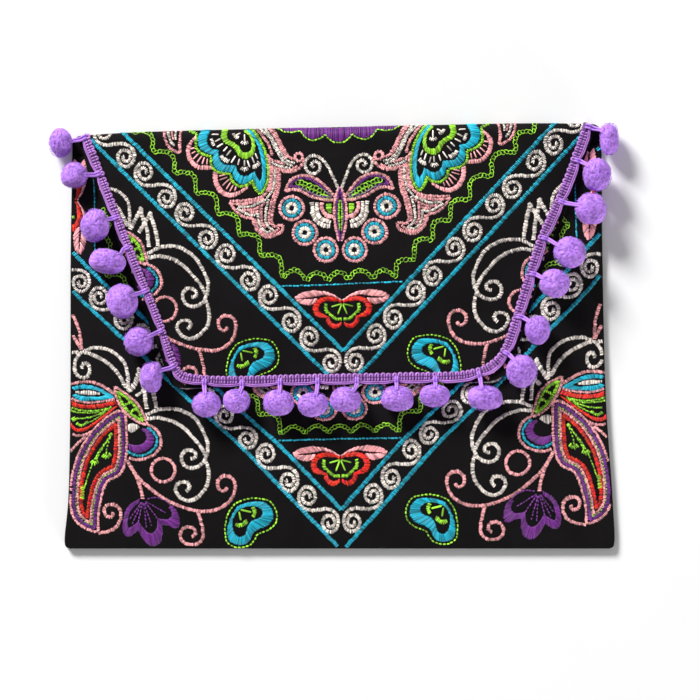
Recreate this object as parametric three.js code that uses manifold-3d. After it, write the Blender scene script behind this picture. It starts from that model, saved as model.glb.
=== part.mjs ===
// Embroidered envelope clutch bag, lying flat on its back with the flap closed.
// A front panel is sewn to one long length of cloth that makes the back, turns over the top fold
// and comes down as the flap. A braid with pompoms runs along the flap's edge.
// Millimetres. +X right, +Y towards the fold, +Z up. The origin is on the underside of the back.
import * as THREE from "three";
import { mergeVertices } from "three/addons/utils/BufferGeometryUtils.js";
import Module from "manifold-3d";

const wasm = await Module();
wasm.setup();

// Driving dimensions
const CLOTH = 1.6; // lined and interfaced cloth wall
const GAP = 0.3; // clearance kept between pieces that touch
const FLAP_GAP = 0.6; // air under the flap where it lies on the front panel
const POUCH_RISE = 7.5; // how far the middle of the pouch stands above its seams
const POUCH_REACH = 52; // distance from a seam to the pouch's full height
const MOUTH_SHARE = 0.62; // height left at the fold, as a share of the rise
const MOUTH_REACH = 60; // distance below the fold over which the height drops
const MOUTH_SETBACK = 8; // front panel's top edge, below the fold's axis
const FOLD_REACH = 4.5; // how far the fold bulges past its axis
const FOLD_QUARTER = 6.0; // length of cloth from the fold's axis to its outermost line
const CORNER_LIFT = 1.4; // how far the flap's lower corners stand off the pouch
const CORNER_LIFT_REACH = 45; // radius of that lifted patch
const BRAID_WIDTH = 6.8;
const BRAID_THICK = 2.0;
const BRAID_SHOULDER = 0.6; // share of the braid's half width and thickness left by its round shoulders
const TIE_RADIUS = 0.8; // yarn tie between the braid and a pompom
const TIE_SINK = 0.8; // share of the way to the pompom's centre that its tie runs
const POMPOM_DEPTH_SHARE = 0.9; // a resting pompom's height over its mean width
const TUFT_COUNT = 30; // tufts over one pompom
const TUFT_DEPTH = 0.1; // valley between tufts, as a share of the radius

// Seams lie on the back panel, so the pouch starts two walls and a gap above the floor.
const SEAM_TOP = 2 * CLOTH + GAP;

// Outline of the pouch, from the bottom edge to the fold's axis: ends of each cross row.
const BODY_ROWS = [
  { at: "bottom edge", xl: -166.2, yl: -130.8, xr: 166.6, yr: -130.8 },
  { at: "round corner", xl: -168.6, yl: -129.8, xr: 168.9, yr: -129.8 },
  { at: "above the corner", xl: -169.3, yl: -127.0, xr: 169.7, yr: -127.0 },
  { at: "lower side", xl: -166.8, yl: -101.0, xr: 168.6, yr: -101.0 },
  { at: "middle", xl: -165.6, yl: -40.0, xr: 164.8, yr: -40.0 },
  { at: "upper side", xl: -165.4, yl: 50.0, xr: 162.9, yr: 54.0 },
  { at: "fold", xl: -165.0, yl: 119.5, xr: 162.4, yr: 126.9 },
];

// Outline of the front panel: the same, but its top edge is set back from the fold.
const FRONT_ROWS = BODY_ROWS.map((row) =>
  row.at === "fold" ? { ...row, yl: row.yl - MOUTH_SETBACK, yr: row.yr - MOUTH_SETBACK } : row,
);

// Outline of the flap, from the fold's axis to its free edge.
const FLAP_ROWS = [
  { at: "fold", xl: -160.5, yl: 119.6, xr: 157.6, yr: 126.8 },
  { at: "upper side", xl: -143.0, yl: 76.0, xr: 143.0, yr: 86.0 },
  { at: "middle", xl: -125.0, yl: 29.0, xr: 124.5, yr: 38.0 },
  { at: "lower side", xl: -109.5, yl: -12.0, xr: 112.5, yr: 0.0 },
  { at: "above the corner", xl: -104.6, yl: -26.0, xr: 105.0, yr: -18.5 },
  { at: "round corner", xl: -101.6, yl: -30.4, xr: 100.4, yr: -24.6 },
  { at: "free edge", xl: -95.5, yl: -31.6, xr: 91.5, yr: -27.6 },
];

// Middle line of the braid, down the left side, along the free edge and up the right side.
// Beyond the fold's axis, y counts the length round the fold.
const BRAID_LINE = [
  [-157.6, 124.4],
  [-154.6, 117.0],
  [-142.6, 86.4],
  [-127.4, 47.4],
  [-112.6, 11.0],
  [-103.0, -15.6],
  [-98.0, -23.6],
  [-89.0, -26.2],
  [-66.0, -27.4],
  [-20.0, -26.2],
  [40.0, -25.2],
  [80.0, -23.6],
  [93.6, -18.6],
  [102.4, -9.2],
  [107.6, 4.0],
  [115.6, 31.8],
  [124.4, 60.0],
  [139.0, 93.0],
  [150.4, 122.6],
  [153.8, 131.4],
];

// Pompoms in order along the braid: centre, size across and along Y, turn in degrees,
// and how far along the braid its tie leaves from the point nearest to it.
const POMPOMS = [
  { x: -171.9, y: 119.6, wide: 14.2, long: 17.6, turn: 0, slip: -5 },
  { x: -163.0, y: 99.6, wide: 16.8, long: 16.4, turn: 0, slip: 4 },
  { x: -150.2, y: 68.6, wide: 17.6, long: 20.6, turn: 0, slip: 0 },
  { x: -142.2, y: 46.6, wide: 21.4, long: 14.8, turn: -14, slip: -3 },
  { x: -133.4, y: 22.2, wide: 18.8, long: 20.8, turn: 0, slip: -1 },
  { x: -123.0, y: -2.7, wide: 18.4, long: 18.0, turn: 0, slip: -1 },
  { x: -115.2, y: -24.5, wide: 13.6, long: 18.8, turn: 0, slip: 0 },
  { x: -81.4, y: -41.2, wide: 17.8, long: 16.2, turn: 12, slip: -2 },
  { x: -62.8, y: -39.4, wide: 16.6, long: 14.8, turn: 0, slip: 3 },
  { x: -37.1, y: -40.4, wide: 19.0, long: 16.0, turn: 0, slip: 2 },
  { x: -15.9, y: -41.3, wide: 18.6, long: 15.0, turn: 10, slip: 2 },
  { x: 4.2, y: -38.4, wide: 18.8, long: 15.4, turn: -6, slip: 6 },
  { x: 35.5, y: -37.6, wide: 20.0, long: 15.4, turn: 0, slip: 0 },
  { x: 58.7, y: -36.2, wide: 18.2, long: 14.2, turn: 0, slip: 1 },
  { x: 89.6, y: -37.4, wide: 20.8, long: 15.8, turn: 0, slip: -3 },
  { x: 112.2, y: -21.0, wide: 19.2, long: 20.4, turn: 0, slip: 3 },
  { x: 122.0, y: 4.3, wide: 15.6, long: 17.6, turn: 0, slip: 5 },
  { x: 132.4, y: 33.0, wide: 19.0, long: 17.2, turn: 0, slip: 2 },
  { x: 141.8, y: 52.0, wide: 20.2, long: 19.4, turn: 0, slip: 3 },
  { x: 155.0, y: 79.2, wide: 19.6, long: 19.6, turn: 0, slip: 0 },
  { x: 159.0, y: 99.9, wide: 17.8, long: 20.2, turn: 0, slip: 5 },
  { x: 166.6, y: 122.2, wide: 11.4, long: 19.8, turn: 0, slip: 7 },
];

// Facets
const ACROSS = 18; // cells across a panel
const BODY_CELLS = 3; // cells between two rows of the pouch
const FLAP_CELLS = 3; // cells between two rows of the flap
const FOLD_CELLS = 8; // cells round the fold
const BRAID_STEP = 7; // length of a straight stretch of braid
const BRAID_END_STEP = 1.5; // the same over the fold
const BRAID_END = 9; // length of braid that goes over the fold
const POMPOM_DETAIL = 2;
const TIE_SIDES = 5;
const TIE_STEPS = 3;
const WELD = 1e-4; // points closer than this are one

const clamp01 = (t) => Math.min(1, Math.max(0, t));
const smooth = (t) => clamp01(t) ** 2 * (3 - 2 * clamp01(t));
const crown = (distance, reach) => Math.sin((Math.PI / 2) * clamp01(distance / reach));

// Smooth curves through the left and right ends of a table of rows.
function rowCurves(rows) {
  const through = (points) => new THREE.CatmullRomCurve3(points, false, "centripetal");
  return {
    left: through(rows.map((r) => new THREE.Vector3(r.xl, r.yl, 0))),
    right: through(rows.map((r) => new THREE.Vector3(r.xr, r.yr, 0))),
  };
}
const body = rowCurves(BODY_ROWS);
const front = rowCurves(FRONT_ROWS);
const flap = rowCurves(FLAP_ROWS);

// Left and right ends of the pouch at a height y, read off the table by straight lines.
function bodySides(y) {
  const at = (xKey, yKey) => {
    const i = BODY_ROWS.findIndex((r, k) => k > 0 && y <= r[yKey]);
    const k = i < 0 ? BODY_ROWS.length - 1 : i;
    const [low, high] = [BODY_ROWS[k - 1], BODY_ROWS[k]];
    const t = clamp01((y - low[yKey]) / (high[yKey] - low[yKey]));
    return low[xKey] + t * (high[xKey] - low[xKey]);
  };
  return { left: at("xl", "yl"), right: at("xr", "yr") };
}

// The fold's axis at x: a straight line between the ends of the pouch's last row.
function foldY(x) {
  const end = BODY_ROWS[BODY_ROWS.length - 1];
  return end.yl + ((x - end.xl) / (end.xr - end.xl)) * (end.yr - end.yl);
}

// Outer height of the closed pouch: crowned from its side and bottom seams, lower at the mouth.
function pouchTop(x, y) {
  const { left, right } = bodySides(y);
  const side = crown(Math.min(x - left, right - x), POUCH_REACH);
  const end = crown(y - BODY_ROWS[0].yl, POUCH_REACH);
  const mouth = MOUTH_SHARE + (1 - MOUTH_SHARE) * smooth((foldY(x) - y) / MOUTH_REACH);
  return SEAM_TOP + POUCH_RISE * side * end * mouth;
}

// Outer height of the flap: it lies on the pouch, with its lower corners standing off a little.
function flapTop(x, y) {
  const corners = [FLAP_ROWS[4].xl, FLAP_ROWS[4].xr].map((cx, i) =>
    Math.hypot(x - cx, y - [FLAP_ROWS[4].yl, FLAP_ROWS[4].yr][i]),
  );
  const lift = CORNER_LIFT * smooth(1 - Math.min(...corners) / CORNER_LIFT_REACH);
  return pouchTop(x, y) + FLAP_GAP + CLOTH + lift;
}

// Outer height of the flap and of the fold beyond its axis, as seen from above.
function coverTop(x, y) {
  const past = y - foldY(x);
  if (past <= 0) return flapTop(x, y);
  const half = flapTop(x, foldY(x)) / 2;
  return half + half * Math.sqrt(Math.max(0, 1 - (past / FOLD_REACH) ** 2));
}

// A closed wall from two grids of points, the second one on the other side of the wall.
function wallGeometry(front, back) {
  const [rows, columns] = [front.length, front[0].length];
  const points = [...front.flat(), ...back.flat()];
  const backStart = rows * columns;
  const at = (i, j) => i * columns + j;
  const faces = [];
  const quad = (a, b, c, d) => faces.push(a, b, c, a, c, d);
  for (let i = 0; i + 1 < rows; i += 1) {
    for (let j = 0; j + 1 < columns; j += 1) {
      quad(at(i, j), at(i, j + 1), at(i + 1, j + 1), at(i + 1, j));
      const [p, q, r, s] = [at(i, j), at(i + 1, j), at(i + 1, j + 1), at(i, j + 1)];
      quad(p + backStart, q + backStart, r + backStart, s + backStart);
    }
  }
  const border = [];
  for (let j = 0; j + 1 < columns; j += 1) border.push(at(0, j));
  for (let i = 0; i + 1 < rows; i += 1) border.push(at(i, columns - 1));
  for (let j = columns - 1; j > 0; j -= 1) border.push(at(rows - 1, j));
  for (let i = rows - 1; i > 0; i -= 1) border.push(at(i, 0));
  border.forEach((a, k) => {
    const b = border[(k + 1) % border.length];
    quad(b, a, a + backStart, b + backStart);
  });
  return indexedGeometry(points, faces);
}

function indexedGeometry(points, faces) {
  const geometry = new THREE.BufferGeometry();
  geometry.setAttribute("position", new THREE.Float32BufferAttribute(points.flat(), 3));
  geometry.setIndex(faces);
  geometry.computeVertexNormals();
  return geometry;
}

// Shares across a panel, closer together towards its sides.
const shares = Array.from({ length: ACROSS + 1 }, (_, i) => (1 - Math.cos((Math.PI * i) / ACROSS)) / 2);

// One cross row of plan points between two curves at the same parameter.
function crossRow({ left, right }, t) {
  const [a, b] = [left.getPoint(t), right.getPoint(t)];
  return shares.map((s) => [a.x + s * (b.x - a.x), a.y + s * (b.y - a.y)]);
}

function crossRows(curves, rowCount, cellsPerRow) {
  const steps = (rowCount - 1) * cellsPerRow;
  return Array.from({ length: steps + 1 }, (_, i) => crossRow(curves, i / steps));
}

// Front panel: from the bottom seam to the mouth, crowned as the pouch is.
function frontPanel() {
  const plan = crossRows(front, FRONT_ROWS.length, BODY_CELLS);
  const outer = plan.map((row) => row.map(([x, y]) => [x, y, pouchTop(x, y)]));
  const inner = outer.map((row) => row.map(([x, y, z]) => [x, y, z - CLOTH]));
  return wallGeometry(outer, inner);
}

// Back and flap: flat back, round fold, then the flap over the pouch, in one length of cloth.
function backAndFlap() {
  const backRows = crossRows(body, BODY_ROWS.length, BODY_CELLS);
  const flapRows = crossRows(flap, FLAP_ROWS.length, FLAP_CELLS);
  const [foldFrom, foldTo] = [backRows[backRows.length - 1], flapRows[0]];
  const outer = backRows.map((row) => row.map(([x, y]) => [x, y, 0]));
  const inner = backRows.map((row) => row.map(([x, y]) => [x, y, CLOTH]));
  for (let k = 1; k < FOLD_CELLS; k += 1) {
    const angle = Math.PI * (k / FOLD_CELLS - 0.5);
    const turned = clamp01(1 + Math.sin(angle));
    const plan = foldFrom.map(([x, y], j) => [
      x + turned * (foldTo[j][0] - x),
      y + turned * (foldTo[j][1] - y),
      flapTop(...foldTo[j]) / 2,
    ]);
    const ring = (inset) =>
      plan.map(([x, y, half]) => [
        x,
        y + (FOLD_REACH - inset) * Math.cos(angle),
        half + (half - inset) * Math.sin(angle),
      ]);
    outer.push(ring(0));
    inner.push(ring(CLOTH));
  }
  outer.push(...flapRows.map((row) => row.map(([x, y]) => [x, y, flapTop(x, y)])));
  inner.push(...flapRows.map((row) => row.map(([x, y]) => [x, y, flapTop(x, y) - CLOTH])));
  return wallGeometry(inner, outer);
}

const braidPlan = new THREE.CatmullRomCurve3(
  BRAID_LINE.map(([x, y]) => new THREE.Vector3(x, y, 0)),
  false,
  "centripetal",
);

// A point above the flap's outer side, or round the fold past its axis.
function onCover({ x, y }, above) {
  const past = y - foldY(x);
  if (past <= 0) return new THREE.Vector3(x, y, flapTop(x, y) + above);
  const half = flapTop(x, foldY(x)) / 2;
  const angle = (Math.PI / 2) * (1 - past / FOLD_QUARTER);
  const away = new THREE.Vector3(0, Math.cos(angle) / FOLD_REACH, Math.sin(angle) / half).normalize();
  const y0 = foldY(x) + FOLD_REACH * Math.cos(angle);
  return new THREE.Vector3(x, y0, half + half * Math.sin(angle)).addScaledVector(away, above);
}

// Plan point of the braid's middle line and the direction across it, away from the flap.
function braidPlace(t) {
  const { x, y } = braidPlan.getTangentAt(t);
  return { middle: braidPlan.getPointAt(t), outward: new THREE.Vector3(y, -x, 0) };
}

// Parameters along the braid, closer together where it goes over the fold.
function braidStations() {
  const length = braidPlan.getLength();
  const run = (from, to, step) => {
    const count = Math.ceil((to - from) / step);
    return Array.from({ length: count }, (_, i) => (from + ((to - from) * i) / count) / length);
  };
  return [
    ...run(0, BRAID_END, BRAID_END_STEP),
    ...run(BRAID_END, length - BRAID_END, BRAID_STEP),
    ...run(length - BRAID_END, length, BRAID_END_STEP),
    1,
  ];
}

// Braid: a band with rounded shoulders carried along its middle line, closed at both ends.
function braid() {
  const half = BRAID_WIDTH / 2;
  const section = [
    { out: -half, high: 0 },
    { out: -half, high: BRAID_THICK * BRAID_SHOULDER },
    { out: -half * BRAID_SHOULDER, high: BRAID_THICK },
    { out: half * BRAID_SHOULDER, high: BRAID_THICK },
    { out: half, high: BRAID_THICK * BRAID_SHOULDER },
    { out: half, high: 0 },
    { out: 0, high: 0 },
  ];
  const points = [];
  const stations = braidStations();
  for (const t of stations) {
    const { middle, outward } = braidPlace(t);
    for (const { out, high } of section) {
      const p = onCover(middle.clone().addScaledVector(outward, out), GAP + high);
      points.push([p.x, p.y, p.z]);
    }
  }
  const n = section.length;
  const faces = [];
  for (let i = 0; i + 1 < stations.length; i += 1) {
    for (let j = 0; j < n; j += 1) {
      const [a, b] = [i * n + j, i * n + ((j + 1) % n)];
      faces.push(a, b + n, a + n, a, b, b + n);
    }
  }
  const last = (stations.length - 1) * n;
  for (let j = 1; j + 1 < n; j += 1) {
    faces.push(0, j + 1, j, last, last + j, last + j + 1);
  }
  return indexedGeometry(points, faces);
}

// Whether a plan point lies inside the flap's outline.
const flapEdge = [
  ...flap.left.getPoints(FLAP_ROWS.length * FLAP_CELLS),
  ...flap.right.getPoints(FLAP_ROWS.length * FLAP_CELLS).reverse(),
];
function onFlap(x, y) {
  let inside = false;
  flapEdge.forEach((a, i) => {
    const b = flapEdge[(i + 1) % flapEdge.length];
    if (a.y > y !== b.y > y && x < a.x + ((y - a.y) / (b.y - a.y)) * (b.x - a.x)) inside = !inside;
  });
  return inside;
}

// Height of whatever lies under a plan point: flap, fold, pouch or floor.
function stackTop(x, y) {
  const { left, right } = bodySides(y);
  if (onFlap(x, y)) return flapTop(x, y);
  if (x < left || x > right || y < BODY_ROWS[0].yl || y > foldY(x) + FOLD_REACH) return 0;
  return y > foldY(x) ? coverTop(x, y) : pouchTop(x, y);
}

// Height of a pompom's centre when it is set down on what lies under it.
function restHeight(pompom, depth) {
  const SAMPLES = 12;
  const turn = THREE.MathUtils.degToRad(pompom.turn);
  let height = 0;
  for (let i = -SAMPLES; i <= SAMPLES; i += 1) {
    for (let j = -SAMPLES; j <= SAMPLES; j += 1) {
      const [a, b] = [i / SAMPLES, j / SAMPLES];
      const off = a * a + b * b;
      if (off > 1) continue;
      const [u, v] = [(a * pompom.wide) / 2, (b * pompom.long) / 2];
      const x = pompom.x + u * Math.cos(turn) - v * Math.sin(turn);
      const y = pompom.y + u * Math.sin(turn) + v * Math.cos(turn);
      height = Math.max(height, stackTop(x, y) + (depth / 2) * Math.sqrt(1 - off));
    }
  }
  return height + GAP;
}

// Directions of the tufts, spread evenly over a ball by the golden angle.
const tufts = Array.from({ length: TUFT_COUNT }, (_, k) => {
  const z = 1 - (2 * k + 1) / TUFT_COUNT;
  const angle = k * Math.PI * (3 - Math.sqrt(5));
  const ring = Math.sqrt(1 - z * z);
  return new THREE.Vector3(ring * Math.cos(angle), ring * Math.sin(angle), z);
});

// A ball that swells at each tuft and sinks between them.
function tuftedBall() {
  const ball = new THREE.IcosahedronGeometry(1, POMPOM_DETAIL);
  const position = ball.getAttribute("position");
  const direction = new THREE.Vector3();
  const spread = 2 / Math.sqrt(TUFT_COUNT);
  for (let i = 0; i < position.count; i += 1) {
    direction.fromBufferAttribute(position, i).normalize();
    const nearest = Math.min(...tufts.map((t) => direction.angleTo(t)));
    direction.multiplyScalar(1 - TUFT_DEPTH * Math.min(1, nearest / spread) ** 2);
    position.setXYZ(i, direction.x, direction.y, direction.z);
  }
  return ball;
}

// A closed geometry as a manifold solid, and back.
function solidOf(geometry) {
  const bare = new THREE.BufferGeometry();
  bare.setAttribute("position", geometry.getAttribute("position"));
  bare.setIndex(geometry.index);
  const merged = mergeVertices(bare, WELD);
  const mesh = new wasm.Mesh({
    numProp: 3,
    vertProperties: new Float32Array(merged.getAttribute("position").array),
    triVerts: new Uint32Array(merged.index.array),
  });
  return new wasm.Manifold(mesh);
}

function geometryOf(solid) {
  const { vertProperties, triVerts } = solid.getMesh();
  const geometry = new THREE.BufferGeometry();
  geometry.setAttribute("position", new THREE.BufferAttribute(vertProperties, 3));
  geometry.setIndex(new THREE.BufferAttribute(triVerts, 1));
  geometry.computeVertexNormals();
  return geometry;
}

// Parameter of the braid's point nearest to a pompom.
function nearestOnBraid({ x, y }) {
  const SAMPLES = 600;
  let best = { t: 0, distance: Infinity };
  for (let i = 0; i <= SAMPLES; i += 1) {
    const p = braidPlan.getPointAt(i / SAMPLES);
    const distance = Math.hypot(p.x - x, p.y - y);
    if (distance < best.distance) best = { t: i / SAMPLES, distance };
  }
  return best.t;
}

// Pompom: a tufted ball fused to the yarn tie that reaches to the braid's outer edge.
function pompom(row) {
  const depth = (POMPOM_DEPTH_SHARE * (row.wide + row.long)) / 2;
  const centre = new THREE.Vector3(row.x, row.y, restHeight(row, depth));
  const ball = tuftedBall();
  ball.scale(row.wide / 2, row.long / 2, depth / 2);
  ball.rotateZ(THREE.MathUtils.degToRad(row.turn));
  ball.translate(centre.x, centre.y, centre.z);

  const t = clamp01(nearestOnBraid(row) + row.slip / braidPlan.getLength());
  const { middle, outward } = braidPlace(t);
  const leave = middle.clone().addScaledVector(outward, BRAID_WIDTH / 2 + GAP);
  const start = onCover(leave, GAP + BRAID_THICK / 2);
  const bend = start.clone().addScaledVector(outward, TIE_RADIUS * 2);
  const line = new THREE.QuadraticBezierCurve3(start, bend, start.clone().lerp(centre, TIE_SINK));
  const circle = new THREE.Shape().absarc(0, 0, TIE_RADIUS, 0, 2 * Math.PI);
  const tie = new THREE.ExtrudeGeometry(circle, {
    steps: TIE_STEPS,
    extrudePath: line,
    curveSegments: TIE_SIDES,
  });
  return geometryOf(solidOf(ball).add(solidOf(tie)));
}

// Materials, one for each kind of stuff
const blackCloth = new THREE.MeshStandardMaterial({ color: 0x16151a, roughness: 0.85, metalness: 0 });
const braidYarn = new THREE.MeshStandardMaterial({ color: 0xb27ddc, roughness: 0.7, metalness: 0 });
const pompomWool = new THREE.MeshStandardMaterial({ color: 0xae7fe6, roughness: 0.95, metalness: 0 });

function named(name, geometry, material) {
  const mesh = new THREE.Mesh(geometry, material);
  mesh.name = name;
  return mesh;
}

const bag = new THREE.Group();
bag.add(named("front_panel", frontPanel(), blackCloth));
bag.add(named("back_and_flap", backAndFlap(), blackCloth));
bag.add(named("pompom_braid", braid(), braidYarn));
POMPOMS.forEach((row, i) => {
  const name = `pompom_${String(i + 1).padStart(2, "0")}`;
  bag.add(named(name, pompom(row), pompomWool));
});

export default bag;
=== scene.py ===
"""Finish of an embroidered envelope clutch bag, laid out as an add-on and run as a script.

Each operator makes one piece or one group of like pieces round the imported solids.
Metres. +X right, +Y towards the top fold, +Z up. The bag lies on its back on the floor.
"""

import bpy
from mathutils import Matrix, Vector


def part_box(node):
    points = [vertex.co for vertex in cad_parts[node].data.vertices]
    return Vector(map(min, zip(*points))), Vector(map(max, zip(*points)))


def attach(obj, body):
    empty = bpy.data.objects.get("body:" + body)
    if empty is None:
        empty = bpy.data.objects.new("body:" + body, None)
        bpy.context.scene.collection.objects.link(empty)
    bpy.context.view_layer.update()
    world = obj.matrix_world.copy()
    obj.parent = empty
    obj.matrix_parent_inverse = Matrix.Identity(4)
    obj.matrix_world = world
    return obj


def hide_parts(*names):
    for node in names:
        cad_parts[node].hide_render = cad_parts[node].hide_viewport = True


bl_info = {
    "name": "Embroidered clutch bag",
    "version": (1, 0, 0),
    "blender": (4, 5, 0),
    "location": "View3D > Sidebar > Clutch",
    "description": "Cloth, embroidery, braid and pompoms of an envelope clutch bag",
    "category": "Object",
}

import math

import bpy
import numpy as np
from bpy.props import FloatProperty, FloatVectorProperty, IntProperty, PointerProperty

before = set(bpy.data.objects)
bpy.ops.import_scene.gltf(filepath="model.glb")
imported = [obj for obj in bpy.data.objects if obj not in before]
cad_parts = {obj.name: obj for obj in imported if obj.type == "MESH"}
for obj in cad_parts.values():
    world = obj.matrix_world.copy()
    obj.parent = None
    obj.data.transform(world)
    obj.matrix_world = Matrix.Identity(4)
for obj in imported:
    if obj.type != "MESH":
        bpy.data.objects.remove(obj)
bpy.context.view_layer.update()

MM = 0.001
BODY = "root"

# Outline of the pouch in millimetres, from the bottom edge to the fold's axis:
# left x, left y, right x, right y of each cross row
BODY_ROWS = np.array([
    (-166.4, -130.8, 167.2, -130.8),
    (-168.9, -129.8, 169.5, -129.8),
    (-169.7, -127.0, 170.3, -127.0),
    (-167.5, -101.0, 169.3, -101.0),
    (-166.2, -40.0, 165.2, -40.0),
    (-166.0, 50.0, 162.9, 54.0),
    (-165.0, 119.5, 162.4, 126.9),
])
# How far the pouch's mouth lies below the fold's axis
MOUTH_SETBACK = 8.0

# Outline of the flap, from the fold's axis to the free edge, in the same columns
FLAP_ROWS = np.array([
    (-160.5, 119.6, 157.6, 126.8),
    (-143.0, 76.0, 143.0, 86.0),
    (-125.0, 29.0, 124.5, 38.0),
    (-109.5, -12.0, 112.5, 0.0),
    (-104.6, -26.0, 105.0, -18.5),
    (-101.6, -30.4, 100.4, -24.6),
    (-95.5, -31.6, 91.5, -27.6),
])
# The flap's two lower corners
FLAP_CORNERS = FLAP_ROWS[4].reshape(2, 2)

# Middle line of the braid: past the fold's axis, y counts the length round the fold
BRAID_LINE = np.array([
    (-157.6, 124.4), (-154.6, 117.0), (-142.6, 86.4), (-127.4, 47.4), (-112.6, 11.0),
    (-103.0, -15.6), (-98.0, -23.6), (-89.0, -26.2), (-66.0, -27.4), (-20.0, -26.2),
    (40.0, -25.2), (80.0, -23.6), (93.6, -18.6), (102.4, -9.2), (107.6, 4.0),
    (116.2, 31.6), (125.3, 59.6), (140.0, 92.5), (151.0, 122.3), (154.0, 131.3),
])
# Share of the braid's length, and how wide it lies there
BRAID_SPREAD = np.array([
    (0.0, 0.95), (0.03, 0.88), (0.16, 0.86), (0.22, 0.77), (0.27, 0.75), (0.31, 0.95), (0.38, 1.0),
    (1.0, 1.0),
])

# Pompoms along the braid: centre x, centre y, width, length, turn in degrees, slip of the tie
POMPOMS = np.array([
    (-171.9, 119.6, 14.2, 17.6, 0, -5), (-163.0, 99.6, 16.8, 16.4, 0, 4),
    (-150.2, 68.6, 17.6, 20.6, 0, 0), (-142.2, 46.6, 21.4, 14.8, -14, -3),
    (-133.4, 22.2, 18.8, 20.8, 0, -1), (-123.0, -2.7, 18.4, 18.0, 0, -1),
    (-115.2, -24.5, 13.6, 18.8, 0, 0), (-81.4, -41.2, 17.8, 16.2, 12, -2),
    (-62.8, -39.4, 16.6, 14.8, 0, 3), (-37.1, -40.4, 19.0, 16.0, 0, 2),
    (-15.9, -41.3, 18.6, 15.0, 10, 2), (4.2, -38.4, 18.8, 15.4, -6, 6),
    (35.5, -37.6, 20.0, 15.4, 0, 0), (58.7, -36.2, 18.2, 14.2, 0, 1),
    (89.6, -37.4, 20.8, 15.8, 0, 0.7), (112.2, -21.0, 19.2, 20.4, 0, 3),
    (122.0, 4.3, 15.6, 17.6, 0, 5), (132.4, 33.0, 19.0, 17.2, 0, 2),
    (141.8, 52.0, 20.2, 19.4, 0, 3), (155.0, 79.2, 19.6, 19.6, 0, -3.4),
    (159.0, 99.9, 17.8, 20.2, 0, 5), (166.6, 122.2, 11.4, 19.8, 0, 7),
])

# The embroidery chart: one square is CHART_SQUARE wide. It is drawn on two sheets, x to the right
# and y down, and each apex is where the point of the inner V lies on that sheet.
CHART_SQUARE = 0.617
UPPER_APEX = (343.3, 351.0)
LOWER_APEX = (341.5, 510.0)
CHART_TILT = math.radians(1.2)
FLAP_APEX = (2.7, -8.6)
FRONT_APEX = (1.5, -106.7)


def length_property(name, description, millimetres):
    """A size that shows in the sidebar as a length."""
    return FloatProperty(
        name=name, description=description, default=millimetres * MM, min=0.0, unit="LENGTH"
    )


def colour_property(name, description, colour):
    """A colour swatch in linear values."""
    return FloatVectorProperty(
        name=name, description=description, default=colour, size=3, min=0.0, max=1.0,
        subtype="COLOR",
    )


class ClutchSizes(bpy.types.PropertyGroup):
    """Sizes of the bag that change its shape."""

    cloth: length_property("Cloth", "Thickness of the lined cloth wall", 1.6)
    gap: length_property("Gap", "Clearance between pieces that touch", 0.3)
    flap_gap: length_property("Flap gap", "Air under the flap", 0.6)
    pouch_rise: length_property("Pouch rise", "Height of the pouch above its seams", 7.5)
    pouch_reach: length_property("Pouch reach", "Distance from a seam to full height", 52.0)
    fold_reach: length_property("Fold reach", "How far the fold bulges past its axis", 4.5)
    fold_bow: length_property("Fold bow", "Extra reach of the fold between its ends", 2.0)
    corner_lift: length_property("Corner lift", "How far the flap's corners stand off", 1.4)
    ripple: length_property("Ripple", "Height of the soft waves in the cloth", 0.35)
    braid_width: length_property("Braid width", "Width of the braid", 6.8)
    fibre: length_property("Fibre", "Length of a pompom's surface fibres", 1.5)
    fibres: IntProperty(
        name="Fibres", description="Fibres on the surface of one pompom", default=400, min=1
    )


class ClutchColours(bpy.types.PropertyGroup):
    """Colours of the cloth, yarn and threads."""

    cloth: colour_property("Cloth", "Black twill", (0.0075, 0.0066, 0.0072))
    turquoise: colour_property("Turquoise", "Turquoise thread", (0.008, 0.455, 0.615))
    cream: colour_property("Cream", "Cream thread", (0.860, 0.780, 0.705))
    pink: colour_property("Pink", "Pink thread", (0.960, 0.425, 0.440))
    red: colour_property("Red", "Red thread", (0.760, 0.014, 0.002))
    lime: colour_property("Lime", "Lime thread", (0.330, 0.740, 0.030))
    purple: colour_property("Purple", "Purple thread", (0.175, 0.022, 0.255))
    braid: colour_property("Braid", "Lilac braid yarn", (0.430, 0.182, 0.560))
    # Painted shade: this dark colour on the braid's tape and middle thread stands in for the shade in its
    # gaps and groove
    groove: colour_property("Groove", "Tape in the braid's grooves", (0.120, 0.032, 0.200))
    pompom: colour_property("Pompom", "Lilac pompom yarn", (0.430, 0.195, 0.730))


THREADS = ("turquoise", "cream", "pink", "red", "lime", "purple")


# Curves

def unit(vectors):
    """Vectors scaled to length 1."""
    return vectors / np.maximum(np.linalg.norm(vectors, axis=-1, keepdims=True), 1e-12)


def spline(points, places):
    """Smooth line through points: a centripetal Catmull-Rom spline.

    Place k is point k, and places between whole numbers lie on the stretch between two points.
    """
    points = np.asarray(points, float)
    ends = np.vstack([2 * points[:1] - points[1:2], points, 2 * points[-1:] - points[-2:-1]])
    span = np.clip(np.floor(places).astype(int), 0, len(points) - 2)
    t = (np.asarray(places) - span)[:, None]
    p0, p1, p2, p3 = (ends[span + k] for k in range(4))
    d1, d2, d3 = (
        np.maximum(np.linalg.norm(b - a, axis=1, keepdims=True) ** 0.5, 1e-9)
        for a, b in ((p0, p1), (p1, p2), (p2, p3))
    )
    m1 = (p2 - p1) + d2 * ((p1 - p0) / d1 - (p2 - p0) / (d1 + d2))
    m2 = (p2 - p1) + d2 * ((p3 - p2) / d3 - (p3 - p1) / (d2 + d3))
    t2, t3 = t * t, t * t * t
    return (
        (2 * t3 - 3 * t2 + 1) * p1 + (t3 - 2 * t2 + t) * m1
        + (3 * t2 - 2 * t3) * p2 + (t3 - t2) * m2
    )


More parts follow.
